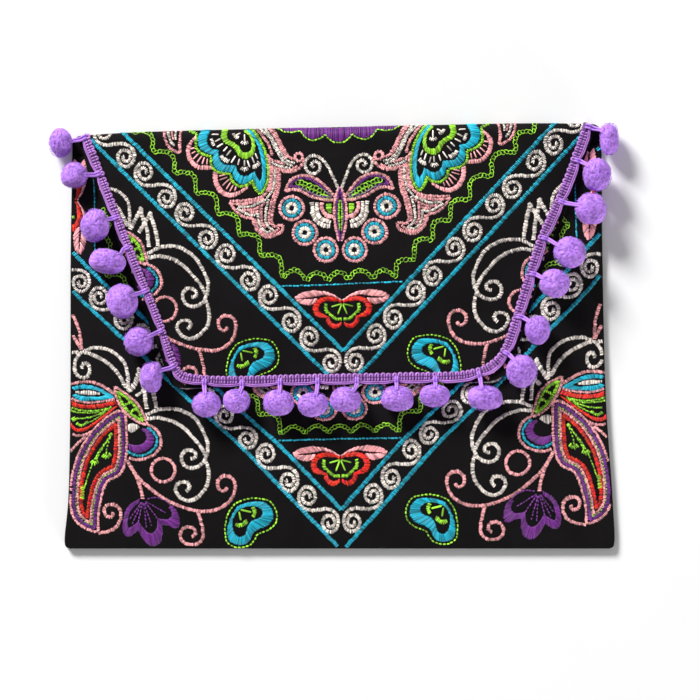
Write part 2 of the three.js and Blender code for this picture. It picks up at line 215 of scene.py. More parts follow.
def run_lengths(line):
    """Length along a line of points up to each of its points."""
    steps = np.linalg.norm(np.diff(line, axis=0), axis=1)
    return np.concatenate([[0.0], np.cumsum(steps)])


# Steps of a smooth line from each of its given points to the next
FINEST = 24


def smooth_line(points, closed=False):
    """Dense smooth line through points, closed by running past its start and cutting back."""
    points = np.asarray(points, float)
    count = len(points)
    if not closed:
        return spline(points, np.linspace(0, count - 1, (count - 1) * FINEST + 1))
    around = np.vstack([points[-2:], points, points[:3]])
    return spline(around, np.linspace(2, count + 2, count * FINEST + 1))


def along(line, lengths):
    """Points of a line at given lengths along it."""
    run = run_lengths(line)
    return np.column_stack([np.interp(lengths, run, line[:, k]) for k in range(line.shape[1])])


def even(line, step):
    """Points spaced evenly along a line, about a step apart, and the unit directions there."""
    total = run_lengths(line)[-1]
    count = max(2, int(round(total / step)))
    lengths = (np.arange(count) + 0.5) / count * total
    nudge = total * 0.002 + 1e-6
    ahead = along(line, np.minimum(lengths + nudge, total))
    behind = along(line, np.maximum(lengths - nudge, 0.0))
    return along(line, lengths), unit(ahead - behind)


def left_of(direction):
    """Directions turned a quarter turn to the left."""
    return np.column_stack([-direction[:, 1], direction[:, 0]])


# Meshes

def make_object(name, vertices, quads, material, triangles=None, attributes=None):
    """A mesh object at the origin from arrays of points and faces, smooth shaded."""
    triangles = np.zeros((0, 3), int) if triangles is None else triangles
    mesh = bpy.data.meshes.new(name)
    corners = np.concatenate([quads.ravel(), triangles.ravel()]).astype(np.int32)
    sizes = np.concatenate([np.full(len(quads), 4), np.full(len(triangles), 3)]).astype(np.int32)
    starts = np.concatenate([[0], np.cumsum(sizes)[:-1]]).astype(np.int32)
    mesh.vertices.add(len(vertices))
    mesh.vertices.foreach_set("co", np.ascontiguousarray(vertices, np.float32).ravel())
    mesh.loops.add(len(corners))
    mesh.loops.foreach_set("vertex_index", corners)
    mesh.polygons.add(len(sizes))
    mesh.polygons.foreach_set("loop_start", starts)
    mesh.polygons.foreach_set("use_smooth", np.ones(len(sizes), bool))
    mesh.update(calc_edges=True)
    mesh.validate()
    for key, values in (attributes or {}).items():
        layer = mesh.attributes.new(key, "FLOAT", "POINT")
        layer.data.foreach_set("value", np.ascontiguousarray(values, np.float32))
    mesh.materials.append(material)
    item = bpy.data.objects.new(name, mesh)
    bpy.context.scene.collection.objects.link(item)
    return item


def grid_faces(rows, columns, start=0, wrap=False):
    """Quads of a grid of points in row order, with its last column joined to its first if wrapped."""
    i, j = np.meshgrid(np.arange(rows - 1), np.arange(columns - (0 if wrap else 1)), indexing="ij")
    right = (j + 1) % columns
    corner = [i * columns + j, i * columns + right, (i + 1) * columns + right, (i + 1) * columns + j]
    return np.stack(corner, axis=-1).reshape(-1, 4) + start


def wall_mesh(outer, inner):
    """Closed wall from two grids of points: both sides, and a strip round their shared border."""
    rows, columns = outer.shape[:2]
    front = grid_faces(rows, columns)
    back = grid_faces(rows, columns, rows * columns)[:, ::-1]
    index = np.arange(rows * columns).reshape(rows, columns)
    border = np.concatenate([index[0, :-1], index[:-1, -1], index[-1, :0:-1], index[:0:-1, 0]])
    ahead = np.roll(border, -1)
    strip = np.stack([ahead, border, border + rows * columns, ahead + rows * columns], axis=-1)
    points = np.concatenate([outer.reshape(-1, 3), inner.reshape(-1, 3)])
    return points, np.concatenate([front, back, strip])


def tubes(paths, half_width, half_height, place, sides=4):
    """Closed threads: a ring of points carried along each path, then put in place.

    Each path is a row of points across, along and above a surface. The ring is an ellipse round
    the path, square to its direction, and place maps the points from the surface to the bag.
    """
    count, steps = paths.shape[:2]
    direction = unit(np.gradient(paths, axis=1))
    side = unit(np.cross(direction, (0.0, 0.0, 1.0)))
    above = np.cross(side, direction)
    angle = 2 * np.pi * np.arange(sides) / sides
    wide = np.broadcast_to(half_width, (count, steps))[..., None, None]
    high = np.broadcast_to(half_height, (count, steps))[..., None, None]
    ring = (
        paths[:, :, None, :]
        + side[:, :, None, :] * wide * np.cos(angle)[:, None]
        + above[:, :, None, :] * high * np.sin(angle)[:, None]
    )
    points = place(ring.reshape(-1, 3))
    first = np.arange(count) * steps * sides
    quads = grid_faces(steps, sides, wrap=True)[:, ::-1]
    quads = (quads[None] + first[:, None, None]).reshape(-1, 4)
    fan = np.column_stack([np.zeros(sides - 2, int), np.arange(1, sides - 1), np.arange(2, sides)])
    caps = np.concatenate([fan, fan[:, ::-1] + (steps - 1) * sides])
    caps = (caps[None] + first[:, None, None]).reshape(-1, 3)
    return points, quads, caps


def join(parts):
    """Several meshes as one: their points in a row, with their faces moved along to match."""
    starts = np.cumsum([0] + [len(p[0]) for p in parts[:-1]])
    points = np.concatenate([p[0] for p in parts])
    quads = np.concatenate([p[1] + s for p, s in zip(parts, starts)])
    caps = np.concatenate([p[2] + s for p, s in zip(parts, starts)])
    return points, quads, caps


# Shape of the bag

def ease(t):
    """Smooth step from 0 to 1."""
    t = np.clip(t, 0.0, 1.0)
    return t * t * (3 - 2 * t)


def crown(distance, reach):
    """A quarter sine wave from 0 at a seam to 1 at the reach."""
    return np.sin(np.pi / 2 * np.clip(distance / reach, 0.0, 1.0))


class BagShape:
    """Heights of the closed bag over the floor, in millimetres, from its sizes."""

    # Share of the pouch's rise left at its mouth, and how far this and a corner's lift reach
    mouth_share = 0.62
    mouth_reach = 60.0
    corner_reach = 45.0
    fold_squareness = 6
    # Millimetres across and along for a radian of each wave, and what the waves' sum is divided by
    wave_lengths = ((23.0, 37.0), (-41.0, 17.0), (13.0, -19.0))
    wave_share = 1.6

    def __init__(self, sizes):
        self.cloth = sizes.cloth / MM
        self.gap = sizes.gap / MM
        self.flap_gap = sizes.flap_gap / MM
        self.rise = sizes.pouch_rise / MM
        self.reach = sizes.pouch_reach / MM
        self.fold_reach = sizes.fold_reach / MM
        self.fold_bow = sizes.fold_bow / MM
        self.corner_lift = sizes.corner_lift / MM
        self.ripple = sizes.ripple / MM
        self.seam_top = 2 * self.cloth + self.gap

    def fold_share(self, x):
        """Place along the fold, from 0 at its left end to 1 at its right end."""
        left, right = BODY_ROWS[-1, 0], BODY_ROWS[-1, 2]
        return np.clip((x - left) / (right - left), 0.0, 1.0)

    def fold_y(self, x):
        """The fold's axis: a straight line between the ends of the pouch's last row."""
        return BODY_ROWS[-1, 1] + self.fold_share(x) * (BODY_ROWS[-1, 3] - BODY_ROWS[-1, 1])

    def fold_past(self, x):
        """Reach of the fold past its axis: more between its ends, which the braid holds in."""
        ends = np.abs(2 * self.fold_share(x) - 1)
        return self.fold_reach + self.fold_bow * (1 - ends ** self.fold_squareness)

    def waves(self, x, y):
        """Soft waves in the cloth: three sine waves that cross each other."""
        total = sum(np.sin(x / across + y / length) for across, length in self.wave_lengths)
        return self.ripple * total / self.wave_share

    def pouch_top(self, x, y):
        """Outer height of the pouch: crowned from its side and bottom seams, lower at the mouth."""
        left = np.interp(y, BODY_ROWS[:, 1], BODY_ROWS[:, 0])
        right = np.interp(y, BODY_ROWS[:, 3], BODY_ROWS[:, 2])
        side = crown(np.minimum(x - left, right - x), self.reach)
        end = crown(y - BODY_ROWS[0, 1], self.reach)
        mouth = ease((self.fold_y(x) - y) / self.mouth_reach)
        mouth = self.mouth_share + (1 - self.mouth_share) * mouth
        return self.seam_top + (self.rise * mouth + self.waves(x, y)) * side * end

    def flap_top(self, x, y):
        """Outer height of the flap: on the pouch, with its lower corners standing off a little."""
        away = np.minimum(*(np.hypot(x - cx, y - cy) for cx, cy in FLAP_CORNERS))
        lift = self.corner_lift * ease(1 - away / self.corner_reach)
        return self.pouch_top(x, y) + self.flap_gap + self.cloth + lift

    def on_front(self, points):
        """Points across, along and above the front panel as points of the bag in metres."""
        x, y, above = points.T
        return np.column_stack([x, y, self.pouch_top(x, y) + above]) * MM

    def on_flap(self, points):
        """Points across, along and above the flap, and round the fold past its axis, in metres.

        Past the axis the cloth follows an ellipse, and above is square to it. Up to the fold's
        reach a point keeps its place in plan. Further on it goes round towards the back.
        """
        x, y, above = points.T
        axis = self.fold_y(x)
        past = np.maximum(y - axis, 0.0)
        half = self.flap_top(x, axis) / 2
        reach = self.fold_past(x)
        turn = np.arccos(np.minimum(past / reach, 1.0)) - np.maximum(past - reach, 0.0) / half
        turn = np.maximum(turn, -np.pi / 2)
        away_y, away_z = np.cos(turn) / reach, np.sin(turn) / half
        size = np.hypot(away_y, away_z)
        round_y = axis + reach * np.cos(turn) + above * away_y / size
        round_z = half + half * np.sin(turn) + above * away_z / size
        folded = y > axis
        flat_z = self.flap_top(x, np.minimum(y, axis)) + above
        return np.column_stack([x, np.where(folded, round_y, y), np.where(folded, round_z, flat_z)]) * MM


def inside(outline, points):
    """Whether points lie inside a closed outline: an odd number of edges lies to their right."""
    a, b = outline, np.roll(outline, -1, axis=0)
    x, y = points[:, :1], points[:, 1:2]
    spans = (a[:, 1] > y) != (b[:, 1] > y)
    rise = np.where(np.abs(b[:, 1] - a[:, 1]) < 1e-9, 1e-9, b[:, 1] - a[:, 1])
    crossing = a[:, 0] + (y - a[:, 1]) / rise * (b[:, 0] - a[:, 0])
    return np.sum(spans & (x < crossing), axis=1) % 2 == 1


def rows_outline(rows, inset=0.0):
    """Closed outline of a table of rows, drawn in by an inset."""
    places = np.linspace(0, len(rows) - 1, 160)
    left = spline(rows[:, :2], places) + (inset, 0.0)
    right = spline(rows[:, 2:], places) - (inset, 0.0)
    outline = np.concatenate([left, right[::-1]])
    low, high = outline[:, 1].min(), outline[:, 1].max()
    outline[:, 1] = np.clip(outline[:, 1], low + inset, high)
    return outline


# Embroidery chart

def on_chart(points, apex):
    """Places on a sheet as chart places: right and up from the V's point, with the tilt undone."""
    right, down = (np.asarray(points, float) - apex).T
    cos, sin = math.cos(CHART_TILT), math.sin(CHART_TILT)
    return np.column_stack([right * cos - down * sin, -right * sin - down * cos])


def upper(*points):
    """Places on the upper sheet."""
    return on_chart(points, UPPER_APEX)


def lower(*points):
    """Places on the lower sheet."""
    return on_chart(points, LOWER_APEX)


# Shares of its length at which a stitch has points: a short one, and a long one that follows the cloth
SHORT_STITCH = np.array([0.0, 0.17, 0.83, 1.0])
LONG_STITCH = np.linspace(0.0, 1.0, 8)


class Chart:
    """Stitches of each thread colour on the chart, with their widths in squares.

    Only the left half is drawn, and the right half is its mirror image.
    """

    # Spacing of stitches in lines and in fills, how much of it a thread covers, and how uneven they lie
    line_pitch = 1.5
    fill_pitch = 1.25
    line_cover = 0.74
    fill_cover = 0.85
    ragged = 0.5
    sway = 0.22
    jitter = 0.2
    lean = 0.08
    # A line beside another ends where it comes nearer than this share of the shift, less the slack
    clear_share = 0.92
    clear_slack = 0.05
    # Length of a chain's link and width of its thread
    link = 3.7
    thread = 0.8

    def __init__(self, seed):
        self.draws = np.random.default_rng(seed)
        self.stitches = {colour: [] for colour in THREADS}

    def lay(self, colour, starts, ends, width, shares=SHORT_STITCH):
        """Straight stitches from starts to ends, with slightly uneven ends."""
        ahead = unit(ends - starts)
        uneven = self.draws.uniform(-self.ragged, self.ragged, (2, len(starts), 1))
        aside = left_of(ahead) * width
        swing = self.draws.uniform(-self.sway, self.sway, (2, len(starts), 1))
        starts = starts + ahead * uneven[0] + aside * swing[0]
        ends = ends + ahead * uneven[1] + aside * swing[1]
        share = shares[None, :, None]
        paths = starts[:, None] * (1 - share) + ends[:, None] * share
        self.stitches[colour].append((paths, np.full(len(paths), width)))

    def satin(self, colour, edge_a, edge_b, pitch=fill_pitch, slant=0.0, closed=False, grow=0.0,
              shares=SHORT_STITCH):
        """Stitches from one edge across to another, evenly spaced along both, grown past the first."""
        a, b = smooth_line(edge_a, closed), smooth_line(edge_b, closed)
        run_a, run_b = run_lengths(a), run_lengths(b)
        count = max(3, int(round(max(run_a[-1], run_b[-1]) / pitch)))
        share = (np.arange(count) + 0.5) / count
        share = share + self.draws.uniform(-self.jitter, self.jitter, count) / count
        slanted = np.clip(share + slant, 0.0, 1.0)
        starts, ends = along(a, share * run_a[-1]), along(b, slanted * run_b[-1])
        starts = starts + unit(starts - ends) * grow
        self.lay(colour, starts, ends, pitch * self.fill_cover, shares)

    def beside(self, dense, shift, shortest):
        """Stretches of the line that runs beside a line: what folds over at a corner is left out."""
        if not shift:
            return [dense]
        moved = dense + left_of(unit(np.gradient(dense, axis=0))) * shift
        apart = np.linalg.norm(moved[:, None] - dense[None, ::3], axis=2).min(axis=1)
        kept = apart > self.clear_share * abs(shift) - self.clear_slack
        cuts = np.flatnonzero(np.diff(kept.astype(int))) + 1
        stretches = [run for run, good in zip(np.split(moved, cuts), np.split(kept, cuts)) if good[0]]
        return [run for run in stretches if len(run) > 2 and run_lengths(run)[-1] > shortest]

    def band(self, colour, line, width, shift=0.0, closed=False, straight=False, pitch=line_pitch):
        """Stitches across a line, as wide as the band, beside the line by the shift."""
        dense = np.asarray(line, float) if straight else smooth_line(line, closed)
        for stretch in self.beside(dense, shift, pitch):
            middle, direction = even(stretch, pitch)
            reach = left_of(direction) * width / 2 + direction * (self.lean * width)
            self.lay(colour, middle + reach, middle - reach, pitch * self.line_cover)

    def nest(self, outline, *bands):
        """Bands inside a closed outline, one inside the other, as (colour, width) from its edge."""
        dense = smooth_line(outline, closed=True)
        x, y = dense[:, 0], dense[:, 1]
        turn = np.sign(np.sum(x * np.roll(y, -1) - y * np.roll(x, -1)))
        depth = 0.0
        for colour, width in bands:
            if colour == "lime dashes":
                self.dashes("lime", outline, 2.2, 1.2, 1.0, shift=turn * depth, closed=True)
            else:
                self.band(colour, outline, width, shift=turn * (depth + width / 2), closed=True)
            depth += width

    def ring(self, colour, centre, outer, inner):
        """Stitches from the outer to the inner edge of a ring, pointing at its centre."""
        count = max(8, int(round(2 * np.pi * outer / self.line_pitch)))
        uneven = self.draws.uniform(-self.jitter, self.jitter, count)
        turn = 2 * np.pi * (np.arange(count) + uneven) / count
        ray = np.column_stack([np.cos(turn), np.sin(turn)])
        self.lay(colour, centre + ray * outer, centre + ray * inner, self.line_pitch * self.line_cover)

    def dashes(self, colour, line, length, gap, width, shift=0.0, closed=False):
        """Running stitches along a line."""
        for stretch in self.beside(smooth_line(line, closed), shift, length):
            middle, direction = even(stretch, length + gap)
            self.lay(colour, middle - direction * length / 2, middle + direction * length / 2, width)

    def rays(self, colour, places, width):
        """Single long stitches: every two places are the ends of one."""
        pairs = places.reshape(-1, 2, 2)
        self.lay(colour, pairs[:, 0], pairs[:, 1], width)

    def chain(self, colour, line, width=4.6):
        """Looped links along a line: two half rings a link, each link turned a little."""
        middle, direction = even(smooth_line(line), self.link)
        count = len(middle)
        middle = middle + self.draws.uniform(-0.4, 0.4, (count, 2))
        swing = self.draws.uniform(-0.75, 0.75, (count, 1))
        direction = direction * np.cos(swing) + left_of(direction) * np.sin(swing)
        across = left_of(direction)
        share = np.linspace(0.0, 1.0, 7)[None, :, None]
        length = self.link * self.draws.uniform(1.1, 1.4, (count, 1, 1))
        uneven = self.draws.uniform(0.75, 1.15, (count, 1, 1))
        for turn in (-1.0, 1.0):
            spread = turn * (width - self.thread) / 2
            paths = (
                middle[:, None] - direction[:, None] * np.cos(np.pi * share) * length / 2
                + across[:, None] * spread * uneven * np.sin(np.pi * share) ** 0.8
            )
            self.stitches[colour].append((paths, np.full(len(paths), self.thread)))


def chart_frame(chart):
    """The V of two turquoise lines."""
    slope = math.radians(45.95)
    arm = np.array([-math.cos(slope), math.sin(slope)])
    reach, drop = 470.0, 40.0
    for start in ((0.0, 0.0), (0.0, -drop)):
        chart.band("turquoise", [start, start + arm * reach], 4.4, straight=True, pitch=1.65)


def chart_scrolls(chart):
    """Cream scrolls between the lines of the V: one S, point symmetric, repeated along the arm."""
    half = np.array([
        (-10.2, 12.1), (-8.3, 13.3), (-9.3, 16.2), (-12.5, 17.5), (-15.4, 15.4), (-16.2, 11.2),
        (-14.2, 7.5), (-10.0, 6.0), (-5.9, 7.5), (-3.5, 11.7), (-4.0, 16.2), (-6.7, 20.8), (-10.8, 22.4),
        (-15.0, 21.6), (-18.7, 17.5), (-20.0, 11.7), (-18.7, 5.9), (-14.2, 1.3), (-7.5, -0.4),
    ])
    scroll = np.concatenate([half, -half[::-1]])
    first = upper((155.5, 185.5))
    step = upper((196.7, 226.5)) - first
    for k in range(-5, 5):
        chart.band("cream", scroll + first + k * step, 3.7)


# Chart places of the lime edging's lower corner and of the diamond's side corner
EDGING_CORNER = np.array([-57.5, 75.5])
EDGING_SIDE = np.array([-233.0, 257.5])

# One step of the edging, as shares of the way across and down to the next
STEP_SHARES = np.array([
    (0.0, 0.0), (0.21, -0.04), (0.46, -0.03), (0.75, 0.09), (0.88, 0.38), (0.87, 0.75), (0.92, 0.95),
])


def stepped(places):
    """A line of steps down through places: each goes most of the way across, then drops to the next."""
    steps = [here + STEP_SHARES * (after - here) for here, after in zip(places[:-1], places[1:])]
    return np.concatenate(steps + [places[-1:]])


def chart_steps(chart):
    """Lime chain in steps along the V, up to the diamond's side corner."""
    step = np.array([-21.0, 21.1])
    places = EDGING_CORNER + np.arange(8, -1, -1)[:, None] * step
    chart.chain("lime", np.concatenate([EDGING_SIDE[None], stepped(places)]))


def chart_flap_end(chart):
    """The flap's edging across the end of the V and up its right arm, half a step out of phase."""
    chart.dashes("turquoise", upper((281.5, 286.2), (312, 285.6), (342, 284.4), (402, 281.6)),
                 3.4, 0.3, 1.6)
    chart.chain("lime", upper(
        (284, 277.5), (289, 272.2), (295, 270), (301, 273.2), (306.7, 280), (311.5, 275), (317, 273),
        (323, 275.2), (328.3, 280), (333, 274.8), (338, 272.6), (343.5, 274.2), (348.3, 278.3),
        (354, 272.8), (361, 270.8), (367, 272.8), (372.5, 277.5), (377.5, 272.2), (383, 270.4),
        (388.5, 272.2), (394, 276.7),
    ))
    chart.chain("lime", stepped(upper(
        (552, 110.5), (532, 132.2), (513, 153.2), (489, 176.8), (467, 200.2), (448, 221), (430.5, 240),
        (412, 260.3), (394, 276.7),
    )))


def chart_front_end(chart):
    """The front's edging across the end of the V: lime arches and a thin turquoise line."""
    chart.dashes("turquoise", [(-62.0, 67.5), (0.0, 68.0)], 3.4, 0.3, 1.6)
    width, crest = 23.0, 8.0
    arch = np.array([(0.0, 0.0), (0.2, 0.55), (0.5, 1.0), (0.8, 0.55), (1.0, 0.0)])
    for k in range(3):
        start = EDGING_CORNER + (k * width, 0.0)
        chart.chain("lime", start + (arch if k < 2 else arch[:3]) * (width, crest))


def chart_corner(chart):
    """Red poppy with pink leaves above the point of the V."""
    outer = upper(
        (341.5, 299.5), (335, 297.5), (328, 296.5), (322, 297.5), (317, 300.5), (313.5, 305),
        (312.5, 310), (314, 314.5), (318, 317.5), (325, 318.5), (326.5, 323), (330, 327), (334.5, 329),
        (338.5, 328), (341.5, 325.5),
    )
    inner = upper(
        (341.5, 303.5), (336, 302), (329, 301.5), (324, 302), (321, 304), (319.2, 307), (319.4, 310.5),
        (321.5, 313), (325.5, 315), (329, 317), (330.5, 320), (333, 322.8), (336.5, 323.8),
        (339.5, 323), (341.5, 321.5),
    )
    chart.satin("red", outer, inner)
    leaf_top = upper(
        (293.5, 298.5), (299, 294), (305, 291.5), (312, 290.5), (320, 291), (328, 292.5), (335, 296),
        (341.5, 300.5),
    )
    leaf_rib = upper(
        (297, 298.8), (303, 298.3), (310, 298), (317, 296.8), (325, 295.3), (334, 297), (341.5, 300.5),
    )
    leaf_low = upper((294.5, 299), (298, 302.5), (304, 305), (310, 305.6), (315, 302.5))
    chart.satin("pink", leaf_top, leaf_rib, slant=0.05, pitch=1.7)
    chart.satin("pink", leaf_low, upper((298, 299.3), (303, 299.3), (309, 299.3), (317, 298.6)),
                slant=0.1, pitch=1.7)
    chart.rays("lime", upper((342, 303.8), (331, 306.8), (342, 303.8), (337.5, 314.5)), 1.6)
    chart.band("lime", upper((326.5, 304), (325.8, 309), (327.5, 313.5)), 3.4)
    chart.band("lime", upper((328.5, 312.5), (333, 317), (338, 319.6), (342, 319)), 3.2)


def chart_butterfly(chart):
    """Butterfly in the middle of the panel, and the arc of ringed discs below it."""
    chart.band("cream", upper(
        (339, 190), (331, 173), (326, 164), (320, 158), (312, 156), (306.5, 160), (305.5, 168),
        (311, 174), (318, 172), (320, 165.5), (315.5, 161.5), (311.5, 165), (314, 168),
    ), 3.3)
    wing = upper(
        (283.5, 194), (286, 185.5), (290, 179), (297, 175), (304, 174), (312, 175.5), (320, 180),
        (328, 187), (335, 194.5), (338, 200.5), (326, 202), (318, 200.5), (310, 198), (303, 194),
        (296, 191.5), (289, 192),
    )
    chart.nest(wing, ("pink", 3.2), ("purple", 2.6))
    chart.chain("lime", upper((296, 182.5), (304, 183.5), (313, 187), (322, 192), (331, 197.5)),
                width=5.2)
    chart.chain("lime", upper((299, 187), (307, 189), (315, 193), (323, 196.8), (331, 199)), width=4.6)
    axis = -0.6
    edge = upper((339.5, 187), (335.5, 197), (334.2, 212), (335.8, 227), (339.5, 241.5))
    for colour, width, shift in (("pink", 2.8, 0.0), ("purple", 2.4, 2.6)):
        chart.band(colour, np.minimum(edge + (shift, 0.0), (axis, np.inf)), width)
    core = upper((339.5, 200), (338, 208), (338, 220), (339.5, 231))
    chart.satin("lime", core, np.column_stack([np.full(len(core), axis), core[:, 1]]))
    fringe = upper(
        (314.5, 202.5), (314.7, 209), (315.2, 213.5), (317, 218), (320, 221), (324, 222.8),
        (330, 224.5),
    )
    chart.satin("cream", upper(
        (309.6, 203), (310.4, 209), (310.5, 215), (313, 220), (317, 224.5), (323, 228.5), (329.4, 229),
    ), fringe, pitch=1.75)
    chart.satin("cream", fringe, upper(
        (318.8, 203), (319, 210), (320.4, 215.2), (323.6, 218), (327.8, 219), (331.3, 220.6),
    ), pitch=1.75)
    chart.satin("pink", upper((319.5, 202), (319.7, 209), (323, 215), (328, 219), (332.5, 219.5)),
                upper((324.2, 203), (324.2, 209), (327, 213), (331, 214.5), (333, 214.5)), pitch=1.5)
    chart.satin("lime", upper((326, 204.5), (325.8, 209), (328, 213.2)),
                upper((331.5, 204), (331.8, 209), (331.5, 213.5)))
    for disc in upper((291.8, 208.5), (305, 233), (326, 250)):
        chart.ring("pink", disc, 13.4, 10.2)
        chart.ring("turquoise", disc, 9.8, 6.4)
        chart.ring("cream", disc, 6.6, 2.5)


def chart_feather(chart):
    """Feather of thin pink and cream strips that hangs from the fold beside the butterfly."""
    pink = (
        upper((256, 128), (260, 133), (264.4, 138.6), (268, 143.5), (270.5, 149), (272.3, 156)),
        upper((268, 127), (271, 131.2), (274.8, 136.8), (277.9, 142.3), (280.4, 147.8), (284, 153.4),
              (287.5, 158)),
        upper((271, 126), (274, 131), (277, 136), (280, 141.7), (283, 147.8), (286.7, 153.8),
              (290.2, 157.9), (294, 159)),
        upper((304.2, 158.5), (303.5, 162.5), (301, 166.5), (297.4, 169.8), (292.7, 172),
              (287.8, 172.2), (282, 171.4)),
        upper((272, 167.3), (277.3, 168.9), (282.2, 170), (288.3, 170.4), (293, 169.4), (297.5, 166)),
        upper((269.3, 158.9), (274.2, 161.4), (279.5, 162.5), (285, 165)),
        upper((267.5, 154.6), (269.3, 161.4), (270.3, 168.7), (270, 176), (269.7, 182), (268.8, 187),
              (267.6, 191), (265, 194.8), (261.5, 197.2)),
        upper((271.8, 165), (272.5, 171.2), (272.1, 177.3), (271.5, 183.5), (270.7, 188.4), (269, 192.7)),
        upper((277, 170.6), (277.6, 177.3), (277, 184), (275.8, 190.2), (274, 195.8), (272.2, 201.3),
              (270.8, 208), (269.4, 214), (269, 220), (270.5, 225)),
        upper((279, 171.2), (279.6, 177.3), (279.3, 183.5), (278.4, 189.6), (276.9, 195.8),
              (275, 201.3), (273.6, 208), (272.4, 214.2), (271.7, 220), (273.6, 226.3), (277, 226.8)),
        upper((229.9, 201.2), (237.3, 201.3), (244.7, 201), (251.5, 200.1), (257, 198.8), (262.5, 197)),
        upper((231.8, 203.8), (238.5, 204.3), (245.9, 204.1), (252.7, 202.6), (258.2, 200.8), (264, 199)),
        upper((242, 210), (248.4, 210.4), (253.9, 209.8), (258.2, 208), (263, 205), (265.3, 202.3)),
        upper((249.5, 212.7), (255, 212.6), (260, 211)),
        upper((230.3, 202.5), (233.2, 207.8), (236.9, 212.2), (241.8, 215.9), (246.5, 217.7),
              (252.5, 218.3)),
        upper((277, 227), (279.5, 225.2), (282.6, 226.2), (283.2, 229), (281.4, 232), (277.9, 234.3),
              (273, 236.7), (267.5, 237.3), (262.5, 235.4), (258.3, 231.8), (255.4, 227), (253.5, 222),
              (252.4, 218)),
        upper((255.2, 219), (257, 225.5), (260.7, 231), (265.3, 234.6), (270.5, 234.6), (276, 231.8),
              (279.3, 228.3)),
        upper((261.5, 208), (261.3, 215), (261.9, 221.4), (263.4, 225.6), (266, 228)),
    )
    cream = (
        upper((258.5, 127), (262, 131), (268, 136), (271.8, 141), (274.2, 146.6), (277.3, 151.5),
              (279.3, 156.4), (283.4, 161.2), (289, 164.8), (293, 166)),
        upper((264, 127), (267.8, 132.5), (271.9, 138), (274.9, 143), (277.9, 149.5), (281, 154),
              (284.4, 158.3), (289.6, 162.2), (295, 163)),
        upper((271.8, 162.6), (276.1, 165), (280.4, 166.3), (285.3, 168), (290.5, 168)),
        upper((274.6, 169), (275, 176), (274.6, 182), (273.6, 187.3), (272.2, 191.6), (269.6, 195.5),
              (266.5, 198.2)),
        upper((238, 206.8), (245.3, 207), (252.1, 206.4), (258.2, 203.8), (264.4, 200.5), (267.5, 199)),
        upper((237, 208.6), (242.9, 212), (248.4, 214.8), (253.5, 215.4), (258, 213.5)),
        upper((258, 213.5), (258.4, 219), (259.6, 224), (262, 228.8), (265.8, 232), (269.5, 232.2),
              (274.2, 230)),
        upper((268.7, 199.5), (267, 206.5), (265.9, 213), (265.7, 219), (266.9, 224.6), (269.4, 228),
              (273, 229.3)),
    )
    for line in pink:
        chart.band("pink", line, 3.0)
    for line in cream:
        chart.band("cream", line, 2.7)
    chart.ring("pink", upper((299, 157.5))[0], 5.4, 2.5)


